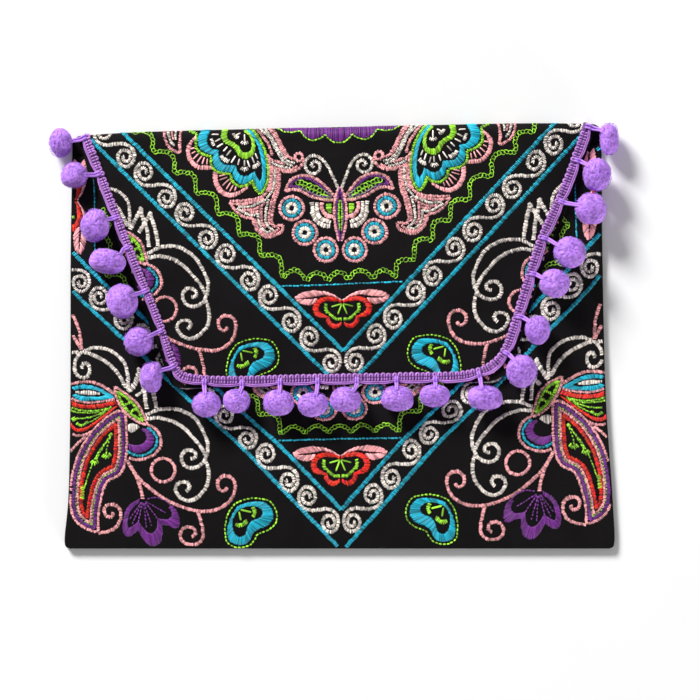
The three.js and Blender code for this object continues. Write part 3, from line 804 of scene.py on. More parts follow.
def chart_lotus(chart):
    """Lotus cut by the fold: turquoise lobes edged with lime, stamens, and pink scallops outside."""
    chart.band("lime", upper(
        (186, 126), (191, 131.5), (196, 134), (196, 142), (196.5, 148), (200, 152.5), (206, 155.5),
        (211, 156.8), (211.5, 161), (211.5, 165.5), (214, 169.5), (219, 172.5), (225, 174),
        (230, 174.3), (231.5, 179), (234.5, 184), (239.5, 186.5), (245, 186.5), (249.5, 184),
        (252.3, 181), (254, 186), (257, 191), (260.3, 194.5), (264, 190), (267, 184), (268.3, 176),
        (268, 167), (266.5, 157), (263, 146), (258, 137), (251, 128),
    ), 3.0)
    lobes = (
        (upper((203, 126), (200.5, 132), (198, 139), (199, 146), (203, 151), (209, 153.8), (214, 154.8)),
         upper((213, 126), (210, 132.5), (208, 138), (208, 143), (210.5, 147.5), (214.5, 149.5),
               (219, 150))),
        (upper((214, 155), (213.3, 162), (215, 167), (220, 170.6), (226, 172), (232.5, 172)),
         upper((219, 150), (219, 156), (221, 161), (225, 164.5), (230, 165), (235.5, 165))),
        (upper((233, 172), (234.5, 178), (238.5, 182.8), (244, 184), (249, 181.5), (253, 178)),
         upper((236, 165.5), (237.5, 171), (241, 175), (245.5, 176), (250, 174.5), (254.3, 171))),
        (upper((253, 178.5), (256, 185), (258.5, 190.5), (260.3, 192)),
         upper((254.5, 171), (257, 177), (260, 181.5))),
        (upper((260.3, 192), (263.5, 187), (265.6, 180), (266.2, 170), (264.6, 158), (261.5, 148),
               (257, 139), (248, 128)),
         upper((260, 181.5), (262, 176), (262, 166), (260, 154), (257.5, 146), (254, 139), (245, 129))),
    )
    for outer, inner in lobes:
        chart.satin("turquoise", outer, inner, grow=1.0)
    chart.satin("lime", upper(
        (222, 128), (221, 134), (220.7, 138), (223, 142), (227, 145), (232, 147), (236, 152),
        (239, 157), (244, 159.5), (250, 158), (254, 154), (255.5, 148), (255, 142), (252.5, 136),
        (247, 129),
    ), upper(
        (229, 129), (228, 133), (227.7, 137), (230, 140.5), (235, 143), (239, 146), (241, 150),
        (245, 152.5), (249, 151.5), (251.5, 148), (251.5, 142), (249, 136), (243, 131),
    ))
    chart.rays("cream", upper(
        (211, 135), (219, 135), (215, 142), (221, 139), (217, 147.5), (223.5, 143.5), (223, 152),
        (228, 147), (226, 156.5), (231.5, 149.5), (231, 163.5), (236, 155.5), (238, 165.5), (240, 159),
        (244.5, 167), (244.5, 160), (250, 168), (247.5, 160), (255, 164), (252, 157), (258, 159.5),
        (255, 153), (241, 133.5), (236, 136), (244.5, 134), (245, 142),
    ), 1.5)
    for blob, width in (
        (upper((211, 139), (212.5, 142.5), (214.5, 146)), 3.2),
        (upper((221, 155.5), (224, 159.5), (229.5, 162)), 4.6),
        (upper((241, 168), (244.5, 170), (248.5, 168)), 4.6),
        (upper((252.5, 167), (256.5, 166.5), (259.5, 162.5)), 4.4),
        (upper((233.5, 133.5), (235.5, 137), (239, 138)), 3.6),
        (upper((241, 142), (244.5, 144), (248.5, 142.3)), 3.8),
    ):
        chart.band("cream", blob, width, pitch=1.6)
    chart.satin("pink", upper(
        (196, 135.5), (189.5, 141.5), (186, 150), (187, 158), (191, 165), (198, 169.8), (206, 170.6),
        (212.5, 169.5),
    ), upper(
        (197, 138.5), (192.5, 144), (190.7, 150), (191.7, 157), (195, 162), (200, 165), (206, 165.5),
        (210.5, 165.8),
    ))
    chart.satin("pink", upper(
        (213, 171.5), (213, 180), (215, 187), (220, 194), (227, 197.6), (234, 197.6), (241, 194),
        (249, 188),
    ), upper(
        (218, 173.5), (218, 180), (220.5, 186), (225, 191), (230, 193), (236, 192), (241, 190),
        (247, 187),
    ))
    chart.rays("pink", upper(
        (190.5, 149), (195, 148), (191, 154), (196, 151.5), (193, 159.5), (199, 154), (197, 163),
        (202, 156), (202, 165), (205, 157.5), (207, 165), (207.5, 158), (219, 176.5), (226, 174.5),
        (219, 181), (228, 177), (222, 186.5), (230, 179), (226, 190), (231, 182), (230, 192),
        (234, 185), (235, 191.5), (236.5, 187),
    ), 1.4)


def chart_fold_motifs(chart):
    """Small leaf and the purple rosette that the fold cuts."""
    chart.band("pink",
               upper((163, 124), (164, 132), (165.5, 140), (169, 147), (174, 151), (180.5, 153)), 3.0)
    chart.band("pink", upper((180.5, 153), (179.7, 145), (180, 138), (181.5, 126)), 3.0)
    chart.band("cream", upper((167.8, 126), (168.5, 134), (170.5, 141), (174.5, 146.5)), 3.0)
    chart.band("cream", upper((175.5, 126), (175.5, 134), (175.8, 140)), 2.6)
    chart.band("pink", upper((171.7, 126), (172, 133), (173.3, 140)), 2.2)
    edge = upper(
        (277, 128), (279.8, 129.6), (284.6, 132), (289, 132.6), (294.5, 132.3), (300.1, 131.3),
        (302.1, 133.7), (304.9, 137.1), (308.1, 139.5), (312.1, 140.6), (316.1, 140.1), (320.8, 138.2),
        (325.4, 135.8), (327.6, 137.9), (331, 140.9), (334.6, 142.6), (338.9, 143),
    )
    top = np.column_stack([edge[:, 0], np.full(len(edge), edge[:, 1].max() + 1.0)])
    chart.satin("purple", edge, top, shares=LONG_STITCH)
    chart.dashes("lime", edge, 3.2, 0.3, 1.4)


def chart_heart(chart):
    """Turquoise heart-shaped flower outside the V, outlined with lime running stitches."""
    chart.dashes("lime", lower(
        (258, 498), (268, 499.5), (274.5, 506), (277, 515), (275.5, 523), (270, 529), (262, 532.5),
        (257, 535.5), (254, 541), (249, 545.8), (241, 547.8), (233, 546.9), (227, 542.5), (225.3, 535),
        (225.3, 526), (227.3, 516), (231, 508.6), (235.6, 503.6), (243, 500), (250, 498.3),
    ), 3.0, 0.9, 1.5, closed=True)
    chart.satin("turquoise", lower(
        (238, 506), (247, 502.5), (257, 501), (266, 502), (272, 508), (274, 515), (272, 522),
        (266, 527), (258, 530), (253, 534), (250, 541), (246, 544.8), (239, 546), (232, 543.8),
        (228, 539.5), (227, 532), (229, 522), (233, 513),
    ), lower(
        (239, 510), (246, 507), (253, 506), (259, 507.5), (262, 511.5), (260.5, 516.5), (256, 519),
        (252, 520.5), (249, 523), (247.5, 527), (246.5, 531), (244.5, 535), (240.5, 537), (236, 535),
        (233.3, 529.5), (232.7, 522.5), (234, 517), (236, 513),
    ), closed=True)
    chart.rays("lime", lower((240, 510), (252, 512), (239.5, 511), (241, 521)), 1.8)
    chart.band("lime", lower((252.5, 507), (255, 511.5), (253, 517)), 4.2, pitch=1.7)
    chart.band("lime", lower((235.5, 524.3), (241, 525.5), (247.5, 521)), 4.2, pitch=1.7)


def chart_vines(chart):
    """Cream feelers and pink vines of the corner butterfly, with a ring and a purple tulip."""
    for line in (
        lower((146, 415), (158, 410), (170, 408.5), (183, 411), (195, 418), (203, 430), (208, 444),
              (207, 455), (205.5, 459), (208, 466), (209, 475), (207, 485), (202, 493), (195, 499),
              (187, 500.5), (180, 497), (176, 491), (177, 485), (182, 482), (187.5, 482.5), (190, 487),
              (186.5, 491.5)),
        lower((147, 418.5), (160, 418), (172, 421), (183, 427), (193, 437), (202, 448), (206, 456)),
        lower((206, 457), (203, 463), (197, 467), (189, 467.5), (183, 463), (182, 456), (185, 451),
              (191, 450), (195.5, 452.5), (195.5, 457), (191, 459)),
        lower((64, 352.6), (71, 352.6), (79, 352.4)),
        lower((83, 351.8), (79.3, 353.9), (76.2, 358.6), (74.4, 364.4), (74.6, 370.7), (77.2, 375.4),
              (82.5, 378), (87.2, 376.5), (89.6, 371.8), (89.3, 366.5), (86.2, 363.4), (82.6, 364),
              (81.7, 368.8)),
        lower((83, 351.8), (87.2, 349.7), (91.4, 348.1), (98.7, 347.6), (105, 348.7), (111.3, 350.8),
              (117.6, 355), (122.3, 359.7), (125.5, 364.9), (127, 370.7), (127.6, 377), (127, 387)),
        lower((84.6, 352.3), (91.4, 354.4), (98.7, 357.6), (105, 361.3), (111.3, 366), (116.6, 371.2),
              (120.8, 377), (125.3, 386.5)),
    ):
        chart.band("cream", line, 3.9)
    for line in (
        upper((129.5, 231), (142, 208)), upper((140.2, 208), (145.5, 230), (148.8, 250)),
        upper((137.5, 235.5), (151.8, 213)), upper((150, 213), (155, 232), (158.6, 249.5)),
    ):
        chart.band("cream", line, 4.4)
    for line in (
        lower((72.5, 335), (75.7, 340.3), (78.8, 345.5), (80.6, 349.7)),
        lower((70, 308), (75, 318), (79, 329), (80.5, 340), (81.6, 349.7)),
        lower((127, 460), (133, 470), (140, 479), (150, 488), (165, 499), (180, 506), (195, 510.5),
              (210, 511), (222, 507), (231, 499), (235, 489), (234, 480), (229, 475.5), (222, 475.5),
              (217.5, 481), (218.5, 487.5), (223.5, 490), (227, 486)),
        lower((131, 466), (138, 480), (142, 493), (143, 499)),
        lower((198, 512), (201, 522), (203, 532), (202, 540), (197, 544), (190, 545), (183, 542.4),
              (180, 536.4), (182, 530), (188, 527), (194, 529), (195.5, 534), (191.5, 537)),
        lower((98, 533.5), (110, 531), (118, 525), (121, 515), (119, 508), (113, 504.5), (107, 505.5),
              (104, 510.5), (106.5, 516), (111.5, 517), (113.5, 512.5)),
    ):
        chart.band("pink", line, 3.6)
    chart.ring("pink", lower((163.5, 470))[0], 13.4, 10.2)
    for outer, inner in (
        (lower((140, 499.3), (132, 503.7), (126.2, 511), (123.6, 521), (123, 530), (124.7, 535.2),
               (129.4, 536.6), (134.5, 533), (138.4, 530.4)),
         lower((139, 503), (133.3, 507.5), (129.6, 514), (127.8, 522.5), (128.8, 527.3), (132, 526),
               (138.6, 521))),
        (lower((138.4, 530.4), (142, 537.6), (147.5, 544.4), (154.2, 546.6), (159.8, 542.5), (162, 535),
               (161.6, 525)),
         lower((139.4, 522), (143, 527.5), (148, 532.3), (153, 532.3), (156.8, 527), (157.2, 519))),
        (lower((161.6, 525), (168.3, 525.4), (175, 528.2), (178.8, 526.5), (179, 518.5), (176, 510.5),
               (171.5, 505.5)),
         lower((157, 518), (163.3, 519), (168.3, 518.5), (171.4, 514.5), (170.5, 510.5), (168.5, 507.5))),
    ):
        chart.satin("purple", outer, inner, grow=1.0)
    chart.dashes("purple", lower((171.5, 505.5), (165, 500.5), (157, 497.5), (147, 498.5)),
                 2.6, 0.9, 1.4)
    start = lower((143.4, 500))[0]
    for end in lower((129.6, 519), (132, 524.5), (138, 523), (146.5, 528.5), (152, 527), (158, 519),
                     (166, 513)):
        chart.dashes("purple", np.array([start + 0.1 * (end - start), end]), 2.6, 0.9, 1.3)


def chart_corner_butterfly(chart):
    """Butterfly in the bag's corner: striped upper wing, large banded wing and a scalloped one."""
    body = lower(
        (114.5, 385.5), (122, 389), (130, 394.5), (137, 401), (142, 408), (146, 416), (148.5, 425),
        (142, 424.8), (133.2, 420.3), (125.8, 414.6), (119.8, 407.4), (116, 400), (114, 393),
    )
    chart.nest(body, ("pink", 2.7), ("lime", 3.2))
    chart.band("lime", lower((125.5, 405), (132, 401.5)), 2.6, pitch=1.7)
    chart.band("lime", lower((131, 411.5), (137, 408.5)), 2.6, pitch=1.7)
    chart.band("pink", lower(
        (66, 386), (71, 384.3), (78, 382.7), (86, 382), (93, 382.5), (100, 385), (107, 388.7),
        (114, 394),
    ), 3.2)
    chart.satin("turquoise", lower(
        (66, 389.3), (70.5, 388), (78, 386), (86, 385.3), (94, 386.5), (101, 389), (108, 393),
        (114.5, 397.5), (106, 399.5), (97, 400), (90, 400.3), (84, 401), (77, 399), (72, 395.5),
        (67, 391.5),
    ), lower(
        (71, 391.3), (78, 390), (85, 389.2), (93, 389.8), (99, 391.5), (104.5, 395), (97, 396.8),
        (89, 396.5), (81, 395.5), (76, 394),
    ), closed=True, grow=0.8)
    chart.satin("cream", lower((75.5, 391.6), (80, 391), (86, 390.4), (93, 391), (100, 393)),
                lower((75.5, 393.2), (80, 394.3), (86, 395.3), (93, 395.5), (100, 394.8)))
    chart.band("pink", lower(
        (66, 395), (70, 398), (78, 401.5), (88, 402.7), (98, 402.2), (107, 400.7), (115, 399),
    ), 2.6)
    chart.satin("red", lower(
        (66, 397), (70.3, 399.8), (76, 402.7), (83, 404.4), (92, 404.6), (101, 403.6), (108, 402),
        (115, 400.3),
    ), lower(
        (66, 404.3), (70.5, 406), (75, 407.8), (83, 409), (92, 409.2), (100, 408.5), (107, 407),
        (118.5, 404.8),
    ))
    chart.satin("red", lower(
        (118.5, 405.5), (112, 411), (105, 417), (98, 422.5), (91, 428), (85, 431.5), (78, 432.5),
        (73, 430.5), (68, 424),
    ), lower(
        (113, 408), (106, 413.5), (99, 418.5), (92, 423.5), (86, 427), (80, 428.3), (74, 426.5),
        (69, 420),
    ))
    chart.band("pink", lower((92, 431.2), (86, 434.6), (79, 436), (72, 434.2)), 2.8)
    for line, width in (
        (lower((68, 406.5), (71, 407.5), (76, 409.5), (84, 411), (93, 411), (101, 410), (108, 408.5)),
         1.9),
        (lower((68, 409.5), (76, 412.3), (84, 413), (93, 412.8), (100, 411.5)), 1.5),
        (lower((104, 411), (108, 409.2), (112, 407)), 2.8),
        (lower((76, 418.7), (84, 418.3), (92, 417), (99, 414.5), (105, 411)), 1.5),
        (lower((84, 424), (92, 421), (99, 417), (106, 411.5)), 1.5),
        (lower((70, 415.5), (73, 418.5), (75, 421.5)), 5.0),
        (lower((76, 423.5), (80, 425.5), (84, 424.5), (88, 421.7)), 2.8),
    ):
        chart.band("lime", line, width, pitch=1.7)
    chart.band("pink", lower((70, 452), (75, 446), (81, 440.5), (86, 437)), 2.8)
    wing = lower(
        (124.6, 410.4), (117.5, 410.2), (108.8, 414.6), (99, 422.8), (91.4, 430.2), (85, 439.2),
        (79.9, 448.2), (75.7, 457.2), (71.9, 469.8), (69.5, 482.4), (68.7, 493.7), (68.8, 506),
        (71.2, 516.6), (76.8, 524.6), (87, 530.8), (98.5, 532.8), (99, 522), (100, 511), (102, 500),
        (105, 489), (109, 482), (115, 479), (121, 475), (125, 468), (127.5, 458), (128.3, 445),
        (128, 430), (127, 417),
    )
    chart.nest(wing, ("pink", 2.7), ("purple", 4.3), ("lime dashes", 0.4), ("pink", 2.7), ("red", 4.2))
    for line in (
        lower((111, 436), (104, 446), (96, 460)), lower((110.5, 437), (107.5, 446), (106, 455)),
        lower((109, 438), (97, 455), (89, 473), (84, 489)),
    ):
        chart.dashes("lime", line, 2.6, 0.8, 1.4)
    for blob, width in (
        (lower((109.5, 437), (111, 435), (112, 433)), 3.4),
        (lower((102.5, 455), (107, 457.5), (111, 454)), 4.0),
        (lower((91, 461), (94.5, 463.5), (98.5, 461)), 4.6),
        (lower((83, 485.5), (82, 492), (81.5, 499)), 4.8),
    ):
        chart.band("lime", blob, width, pitch=1.7)
    chart.band("pink", lower(
        (148, 424.5), (155, 428), (160, 434), (161.3, 441), (160, 448), (155, 454), (147, 458),
        (138, 459.7), (129, 458),
    ), 3.1)
    chart.band("turquoise", lower(
        (147.5, 427.5), (153, 431.3), (156.7, 437), (157.2, 443), (154.2, 449), (148, 453.5),
        (140, 455.6), (133, 454.3), (128, 451),
    ), 2.7)
    chart.satin("purple", lower(
        (143, 428), (149, 430.5), (153.3, 436), (154, 442), (151, 447), (145, 451.2), (138, 453),
        (129.5, 450),
    ), lower(
        (141.5, 430.5), (145, 433), (146.3, 437), (145.6, 440.5), (142.5, 443.3), (138, 444.6),
        (133, 444.3), (129, 443),
    ), grow=0.8)
    chart.satin("cream", lower((128, 430.5), (131, 432.7), (135, 431.7), (140, 428)),
                lower((128.5, 424.5), (131, 423), (135, 423.5), (139, 425.5)))


# Motifs that are copied in the same way
MOTIF_GROUPS = (
    (chart_frame,), (chart_scrolls,), (chart_steps,), (chart_flap_end,), (chart_front_end,),
    (chart_butterfly, chart_feather, chart_lotus, chart_fold_motifs),
    (chart_heart, chart_vines, chart_corner_butterfly), (chart_corner,),
)
# Centre of the diamond that the V and its upside-down copy make, and a shift of its side corners
DIAMOND_CENTRE = np.array([0.0, 315.0])
SIDE_SHIFT = (0.0, 6.5)

# How far up the front's cloth has drawn the rows inside the V: chart row, squares
FRONT_ROWS = (-60.0, -40.0, 0.0, 50.0, 68.0, 80.0, 110.0, 140.0)
FRONT_DRAWN = (-2.0, -1.5, 0.5, 3.5, 3.3, 2.0, -1.0, -2.5)


def drawn_up(points):
    """Chart places with the front's rows moved up as its cloth has drawn them."""
    moved = points.copy()
    moved[..., 1] += np.interp(points[..., 1], FRONT_ROWS, FRONT_DRAWN)
    return moved


# How the stitching has pulled each panel's cloth: place on its sheet, squares right and down, reach
FLAP_PULLS = np.array([
    (360, 350, -1.0, -0.3, 18), (400, 310, -1.7, -0.7, 25), (450, 260, -1.7, -1.5, 28),
    (500, 205, -1.3, -2.3, 28), (553, 143, 1.6, -4.8, 22), (268, 295, 1.0, 0.3, 25),
    (312, 338, 1.0, 1.2, 18), (364, 164, -1.8, 0.0, 12), (372, 182, -1.2, -1.2, 14),
    (387, 206, -2.5, 0.0, 13), (376, 231, -2.3, 0.3, 12), (356, 249, -2.0, 0.7, 12),
    (505, 133, 2.5, -1.5, 14), (500, 240, 0.0, -3.0, 20), (495, 292, 0.0, -3.5, 18),
    (496, 332, 0.0, -4.5, 16), (478, 344, 0.0, -2.0, 12), (503, 340, 0.0, -3.0, 12),
    (168, 248, 0.0, -3.5, 18), (207, 300, -2.5, -0.5, 14), (192, 340, 0.0, -3.5, 14),
    (190, 297, 0.0, -3.5, 14), (193, 350, 0.0, -2.0, 10), (173, 341, 0.0, -2.5, 10),
    (236, 325, -1.0, 0.0, 10), (163, 300, 0.0, -2.0, 12), (152, 275, -2.5, 0.5, 12),
    (118, 200, 2.5, -2.5, 12), (140, 238, 2.0, -2.0, 10), (203, 262, -1.6, 0.0, 12),
    (510, 300, 2.0, 0.0, 9), (522, 272, 2.0, 0.0, 9),
])
FRONT_PULLS = np.array([
    (237, 428, 0.0, 3.0, 16), (257, 446, 0.5, 2.3, 16), (276, 466, 0.0, 3.5, 14),
    (298, 486, 0.5, 2.8, 18), (325, 515, 0.7, 1.5, 16), (447, 416, -4.0, 1.5, 16),
    (420, 448, -4.0, 1.5, 16), (398, 468, -1.5, 2.3, 16), (373, 494, -2.5, 2.0, 16),
    (352, 520, -1.5, 1.0, 14), (547, 390, -2.2, -3.0, 11), (550, 352, -2.0, -1.5, 14),
    (138, 382, 2.0, 6.0, 8), (534, 376, -1.0, 4.0, 8), (226, 485, 0.5, 1.2, 10),
    (458, 480, 0.0, 2.0, 10), (500, 485, -1.0, 1.3, 10), (495, 530, 0.0, 1.5, 12),
    (572, 503, 1.5, 2.5, 12), (596, 520, 1.0, 2.0, 12), (452, 532, -1.2, 1.5, 14),
    (537, 520, -0.5, 1.5, 20), (75, 258, -2.5, 5.5, 22), (98, 298, -2.0, 3.5, 20),
])
LINE_PULLS = np.array([
    (80, 262, -2.2, 4.6, 24), (85, 300, -2.0, 4.3, 22), (115, 325, -1.2, 2.6, 18),
    (585, 300, 1.0, 1.5, 25), (126, 275, -5.0, 1.0, 10),
])
SIDE_PULLS = np.array([(80, 245, -1.5, 7.0, 11), (590, 235, -2.0, 3.0, 11)])


def pulled(points, pulls, sheet):
    """Chart places moved by the pulls: each fades as a bell curve, and overlapping pulls share."""
    moved, total = np.zeros_like(points), np.zeros(points.shape[:-1])
    for place, right, down, reach in zip(sheet(*pulls[:, :2]), *pulls[:, 2:].T):
        weight = np.exp(-np.sum((points - place) ** 2, axis=-1) / (2 * reach ** 2))
        moved += weight[..., None] * (right, -down)
        total += weight
    return points + moved / np.maximum(total, 1.0)[..., None]


def turned(points, degrees, centre=(0.0, 0.0)):
    """Points turned about a centre."""
    angle = math.radians(degrees)
    cos, sin = math.cos(angle), math.sin(angle)
    x, y = points[..., 0] - centre[0], points[..., 1] - centre[1]
    return np.stack([centre[0] + x * cos - y * sin, centre[1] + x * sin + y * cos], axis=-1)


# Materials

def new_material(name):
    """An empty node material and its shader."""
    material = bpy.data.materials.new(name)
    material.use_nodes = True
    tree = material.node_tree
    return material, tree, tree.nodes["Principled BSDF"]


def new_group(name, inputs, outputs):
    """An empty shader node group with named value, colour or vector sockets."""
    group = bpy.data.node_groups.new(name, "ShaderNodeTree")
    for label, kind in inputs:
        group.interface.new_socket(label, in_out="INPUT", socket_type=kind)
    for label, kind in outputs:
        group.interface.new_socket(label, in_out="OUTPUT", socket_type=kind)
    return group, group.nodes.new("NodeGroupInput"), group.nodes.new("NodeGroupOutput")


def math_node(tree, operation, first, second=None):
    """A math node with its inputs set to values or linked to sockets."""
    node = tree.nodes.new("ShaderNodeMath")
    node.operation = operation
    for socket, value in zip(node.inputs, (first, second)):
        if isinstance(value, bpy.types.NodeSocket):
            tree.links.new(value, socket)
        elif value is not None:
            socket.default_value = value
    return node.outputs[0]


def colour_between(tree, share, first, second):
    """A colour mixed from two by a share from 0 to 1 that comes from a socket."""
    mix = tree.nodes.new("ShaderNodeMix")
    mix.data_type = "RGBA"
    mix.inputs[6].default_value = (*first, 1.0)
    mix.inputs[7].default_value = (*second, 1.0)
    tree.links.new(share, mix.inputs[0])
    return mix.outputs[2]


def add_bump(tree, shader, height, strength, depth):
    """A bump on a shader from a height socket."""
    bump = tree.nodes.new("ShaderNodeBump")
    bump.inputs["Strength"].default_value = strength
    bump.inputs["Distance"].default_value = depth
    tree.links.new(height, bump.inputs["Height"])
    tree.links.new(bump.outputs["Normal"], shader.inputs["Normal"])


def twill_group():
    """Twill weave: slanted ribs crossed by finer threads, from sine waves over the cloth's plan."""
    group, source, target = new_group(
        "twill_weave",
        [("Vector", "NodeSocketVector"), ("Pitch", "NodeSocketFloat")],
        [("Height", "NodeSocketFloat"), ("Fade", "NodeSocketFloat")],
    )
    split = group.nodes.new("ShaderNodeSeparateXYZ")
    group.links.new(source.outputs["Vector"], split.inputs[0])
    turns = math_node(group, "DIVIDE", 2 * math.pi, source.outputs["Pitch"])
    total = math_node(group, "ADD", split.outputs["X"], split.outputs["Y"])
    ribs = math_node(group, "SINE", math_node(group, "MULTIPLY", total, turns))
    fine = math_node(group, "MULTIPLY", turns, 1.7)
    warp = math_node(group, "SINE", math_node(group, "MULTIPLY", split.outputs["X"], fine))
    weft = math_node(group, "SINE", math_node(group, "MULTIPLY", split.outputs["Y"], fine))
    cross = math_node(group, "MULTIPLY", math_node(group, "MULTIPLY", warp, weft), 0.5)
    group.links.new(math_node(group, "ADD", ribs, cross), target.inputs["Height"])
    noise = group.nodes.new("ShaderNodeTexNoise")
    noise.inputs["Scale"].default_value = 55.0
    noise.inputs["Detail"].default_value = 6.0
    group.links.new(source.outputs["Vector"], noise.inputs["Vector"])
    group.links.new(noise.outputs["Fac"], target.inputs["Fade"])
    return group


def strand_group():
    """Uneven dye and lustre of spun yarn: each strand's own tone, and fine flecks along it."""
    group, source, target = new_group(
        "strand_tone",
        [("Vector", "NodeSocketVector"), ("Colour", "NodeSocketColor"), ("Spread", "NodeSocketFloat"),
         ("Fleck", "NodeSocketFloat"), ("Hue", "NodeSocketFloat")],
        [("Colour", "NodeSocketColor"), ("Roughness", "NodeSocketFloat"), ("Height", "NodeSocketFloat")],
    )
    tone = group.nodes.new("ShaderNodeAttribute")
    tone.attribute_name = "tone"
    noise = group.nodes.new("ShaderNodeTexNoise")
    noise.inputs["Detail"].default_value = 3.0
    group.links.new(source.outputs["Vector"], noise.inputs["Vector"])
    group.links.new(source.outputs["Fleck"], noise.inputs["Scale"])
    swing = math_node(group, "SUBTRACT", tone.outputs["Fac"], 0.5)
    fleck = math_node(group, "SUBTRACT", noise.outputs["Fac"], 0.5)
    both = math_node(group, "ADD", swing, math_node(group, "MULTIPLY", fleck, 0.9))
    value = math_node(group, "ADD", math_node(group, "MULTIPLY", both, source.outputs["Spread"]), 1.0)
    shade = group.nodes.new("ShaderNodeHueSaturation")
    group.links.new(source.outputs["Colour"], shade.inputs["Color"])
    group.links.new(value, shade.inputs["Value"])
    hue = math_node(group, "ADD", math_node(group, "MULTIPLY", fleck, source.outputs["Hue"]), 0.5)
    group.links.new(hue, shade.inputs["Hue"])
    group.links.new(shade.outputs["Color"], target.inputs["Colour"])
    rough = math_node(group, "ADD", math_node(group, "MULTIPLY", noise.outputs["Fac"], 0.3), 0.32)
    group.links.new(rough, target.inputs["Roughness"])
    group.links.new(noise.outputs["Fac"], target.inputs["Height"])
    return group


def cloth_material(colour):
    """Black twill with a slight sheen and uneven fading."""
    material, tree, shader = new_material("black_twill")
    coords = tree.nodes.new("ShaderNodeTexCoord")
    group = tree.nodes.new("ShaderNodeGroup")
    group.node_tree = twill_group()
    group.inputs["Pitch"].default_value = 0.9 * MM
    tree.links.new(coords.outputs["Object"], group.inputs["Vector"])
    worn, dark = [1.5 * c for c in colour], [0.7 * c for c in colour]
    faded = colour_between(tree, group.outputs["Fade"], dark, worn)
    tree.links.new(faded, shader.inputs["Base Color"])
    add_bump(tree, shader, group.outputs["Height"], 0.5, 0.1 * MM)
    shader.inputs["Roughness"].default_value = 0.8
    shader.inputs["Specular IOR Level"].default_value = 0.06
    return material


def strand_material(name, colour, spread, fleck, sheen, bump_depth, hue=0.08):
    """Spun yarn or thread of one colour, from the strand group."""
    material, tree, shader = new_material(name)
    coords = tree.nodes.new("ShaderNodeTexCoord")
    group = tree.nodes.new("ShaderNodeGroup")
    group.node_tree = bpy.data.node_groups.get("strand_tone") or strand_group()
    group.inputs["Colour"].default_value = (*colour, 1.0)
    group.inputs["Spread"].default_value = spread
    group.inputs["Fleck"].default_value = fleck
    group.inputs["Hue"].default_value = hue
    tree.links.new(coords.outputs["Object"], group.inputs["Vector"])
    tree.links.new(group.outputs["Colour"], shader.inputs["Base Color"])
    tree.links.new(group.outputs["Roughness"], shader.inputs["Roughness"])
    add_bump(tree, shader, group.outputs["Height"], 0.6, bump_depth)
    shader.inputs["Sheen Weight"].default_value = sheen
    shader.inputs["Sheen Roughness"].default_value = 0.4
    return material


def cloth_finish(scene):
    """The bag's cloth material, made once."""
    return bpy.data.materials.get("black_twill") or cloth_material(scene.clutch_colours.cloth)


# Pieces

# Distances from a panel's edge of the points in its rounded rim
RIM_STEPS = np.array([0.0, 0.12, 0.35, 0.7, 1.3, 2.4, 4.0])


def rim_places(length, step):
    """Lengths across a panel from edge to edge, close together in its rounded rims."""
    count = int((length - 2 * RIM_STEPS[-1]) / step)
    middle = np.linspace(RIM_STEPS[-1], length - RIM_STEPS[-1], count)[1:-1]
    return np.concatenate([RIM_STEPS, middle, length - RIM_STEPS[::-1]])


def row_places(rows, lengths):
    """Places along the rows' left edge at given lengths down it."""
    fine = np.linspace(0, len(rows) - 1, 600)
    run = run_lengths(spline(rows[:, :2], fine))
    return np.interp(lengths * run[-1] / lengths[-1], run, fine)


def cross_rows(rows, places, shares):
    """Grid of plan points between the left and right edges of a table of rows."""
    left, right = spline(rows[:, :2], places), spline(rows[:, 2:], places)
    return left[:, None] + shares[None, :, None] * (right - left)[:, None]


def rounded(distance, cloth):
    """Share of the wall's thickness at a distance from its edge: a half circle, never quite shut."""
    inwards = np.clip(distance / (cloth / 2), 0.0, 1.0)
    return np.maximum(np.sqrt(1 - (1 - inwards) ** 2), 0.15)


def ride_and_finish(piece, slot, *nodes):
    """Carry a piece on the bag's only body and hide the nodes it stands for; its slot is not used."""
    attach(piece, BODY)
    if nodes:
        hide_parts(*nodes)
    return piece


class CLUTCH_OT_front_panel(bpy.types.Operator):
    """Front wall of the pouch: a crowned cloth wall with rounded edges"""

    bl_idname = "clutch.front_panel"
    bl_label = "Front panel"

    def execute(self, context):
        shape = BagShape(context.scene.clutch_sizes)
        rows = BODY_ROWS.copy()
        rows[-1, [1, 3]] -= MOUTH_SETBACK
        wide, high = 334.0, 245.0
        across = rim_places(wide, 2.7)
        up = rim_places(high, 2.5)
        plan = cross_rows(rows, row_places(rows, up), across / wide)
        x, y = plan[..., 0], plan[..., 1]
        edge = np.minimum(
            np.minimum(across, wide - across)[None, :], np.minimum(up, high - up)[:, None]
        )
        half = shape.cloth / 2 * rounded(edge, shape.cloth)
        middle = shape.pouch_top(x, y) - shape.cloth / 2
        outer = np.stack([x, y, middle + half], axis=-1)
        inner = np.stack([x, y, middle - half], axis=-1)
        points, quads = wall_mesh(outer, inner)
        panel = make_object("front_cloth", points * MM, quads, cloth_finish(context.scene))
        ride_and_finish(panel, "black_cloth", "front_panel")
        return {"FINISHED"}


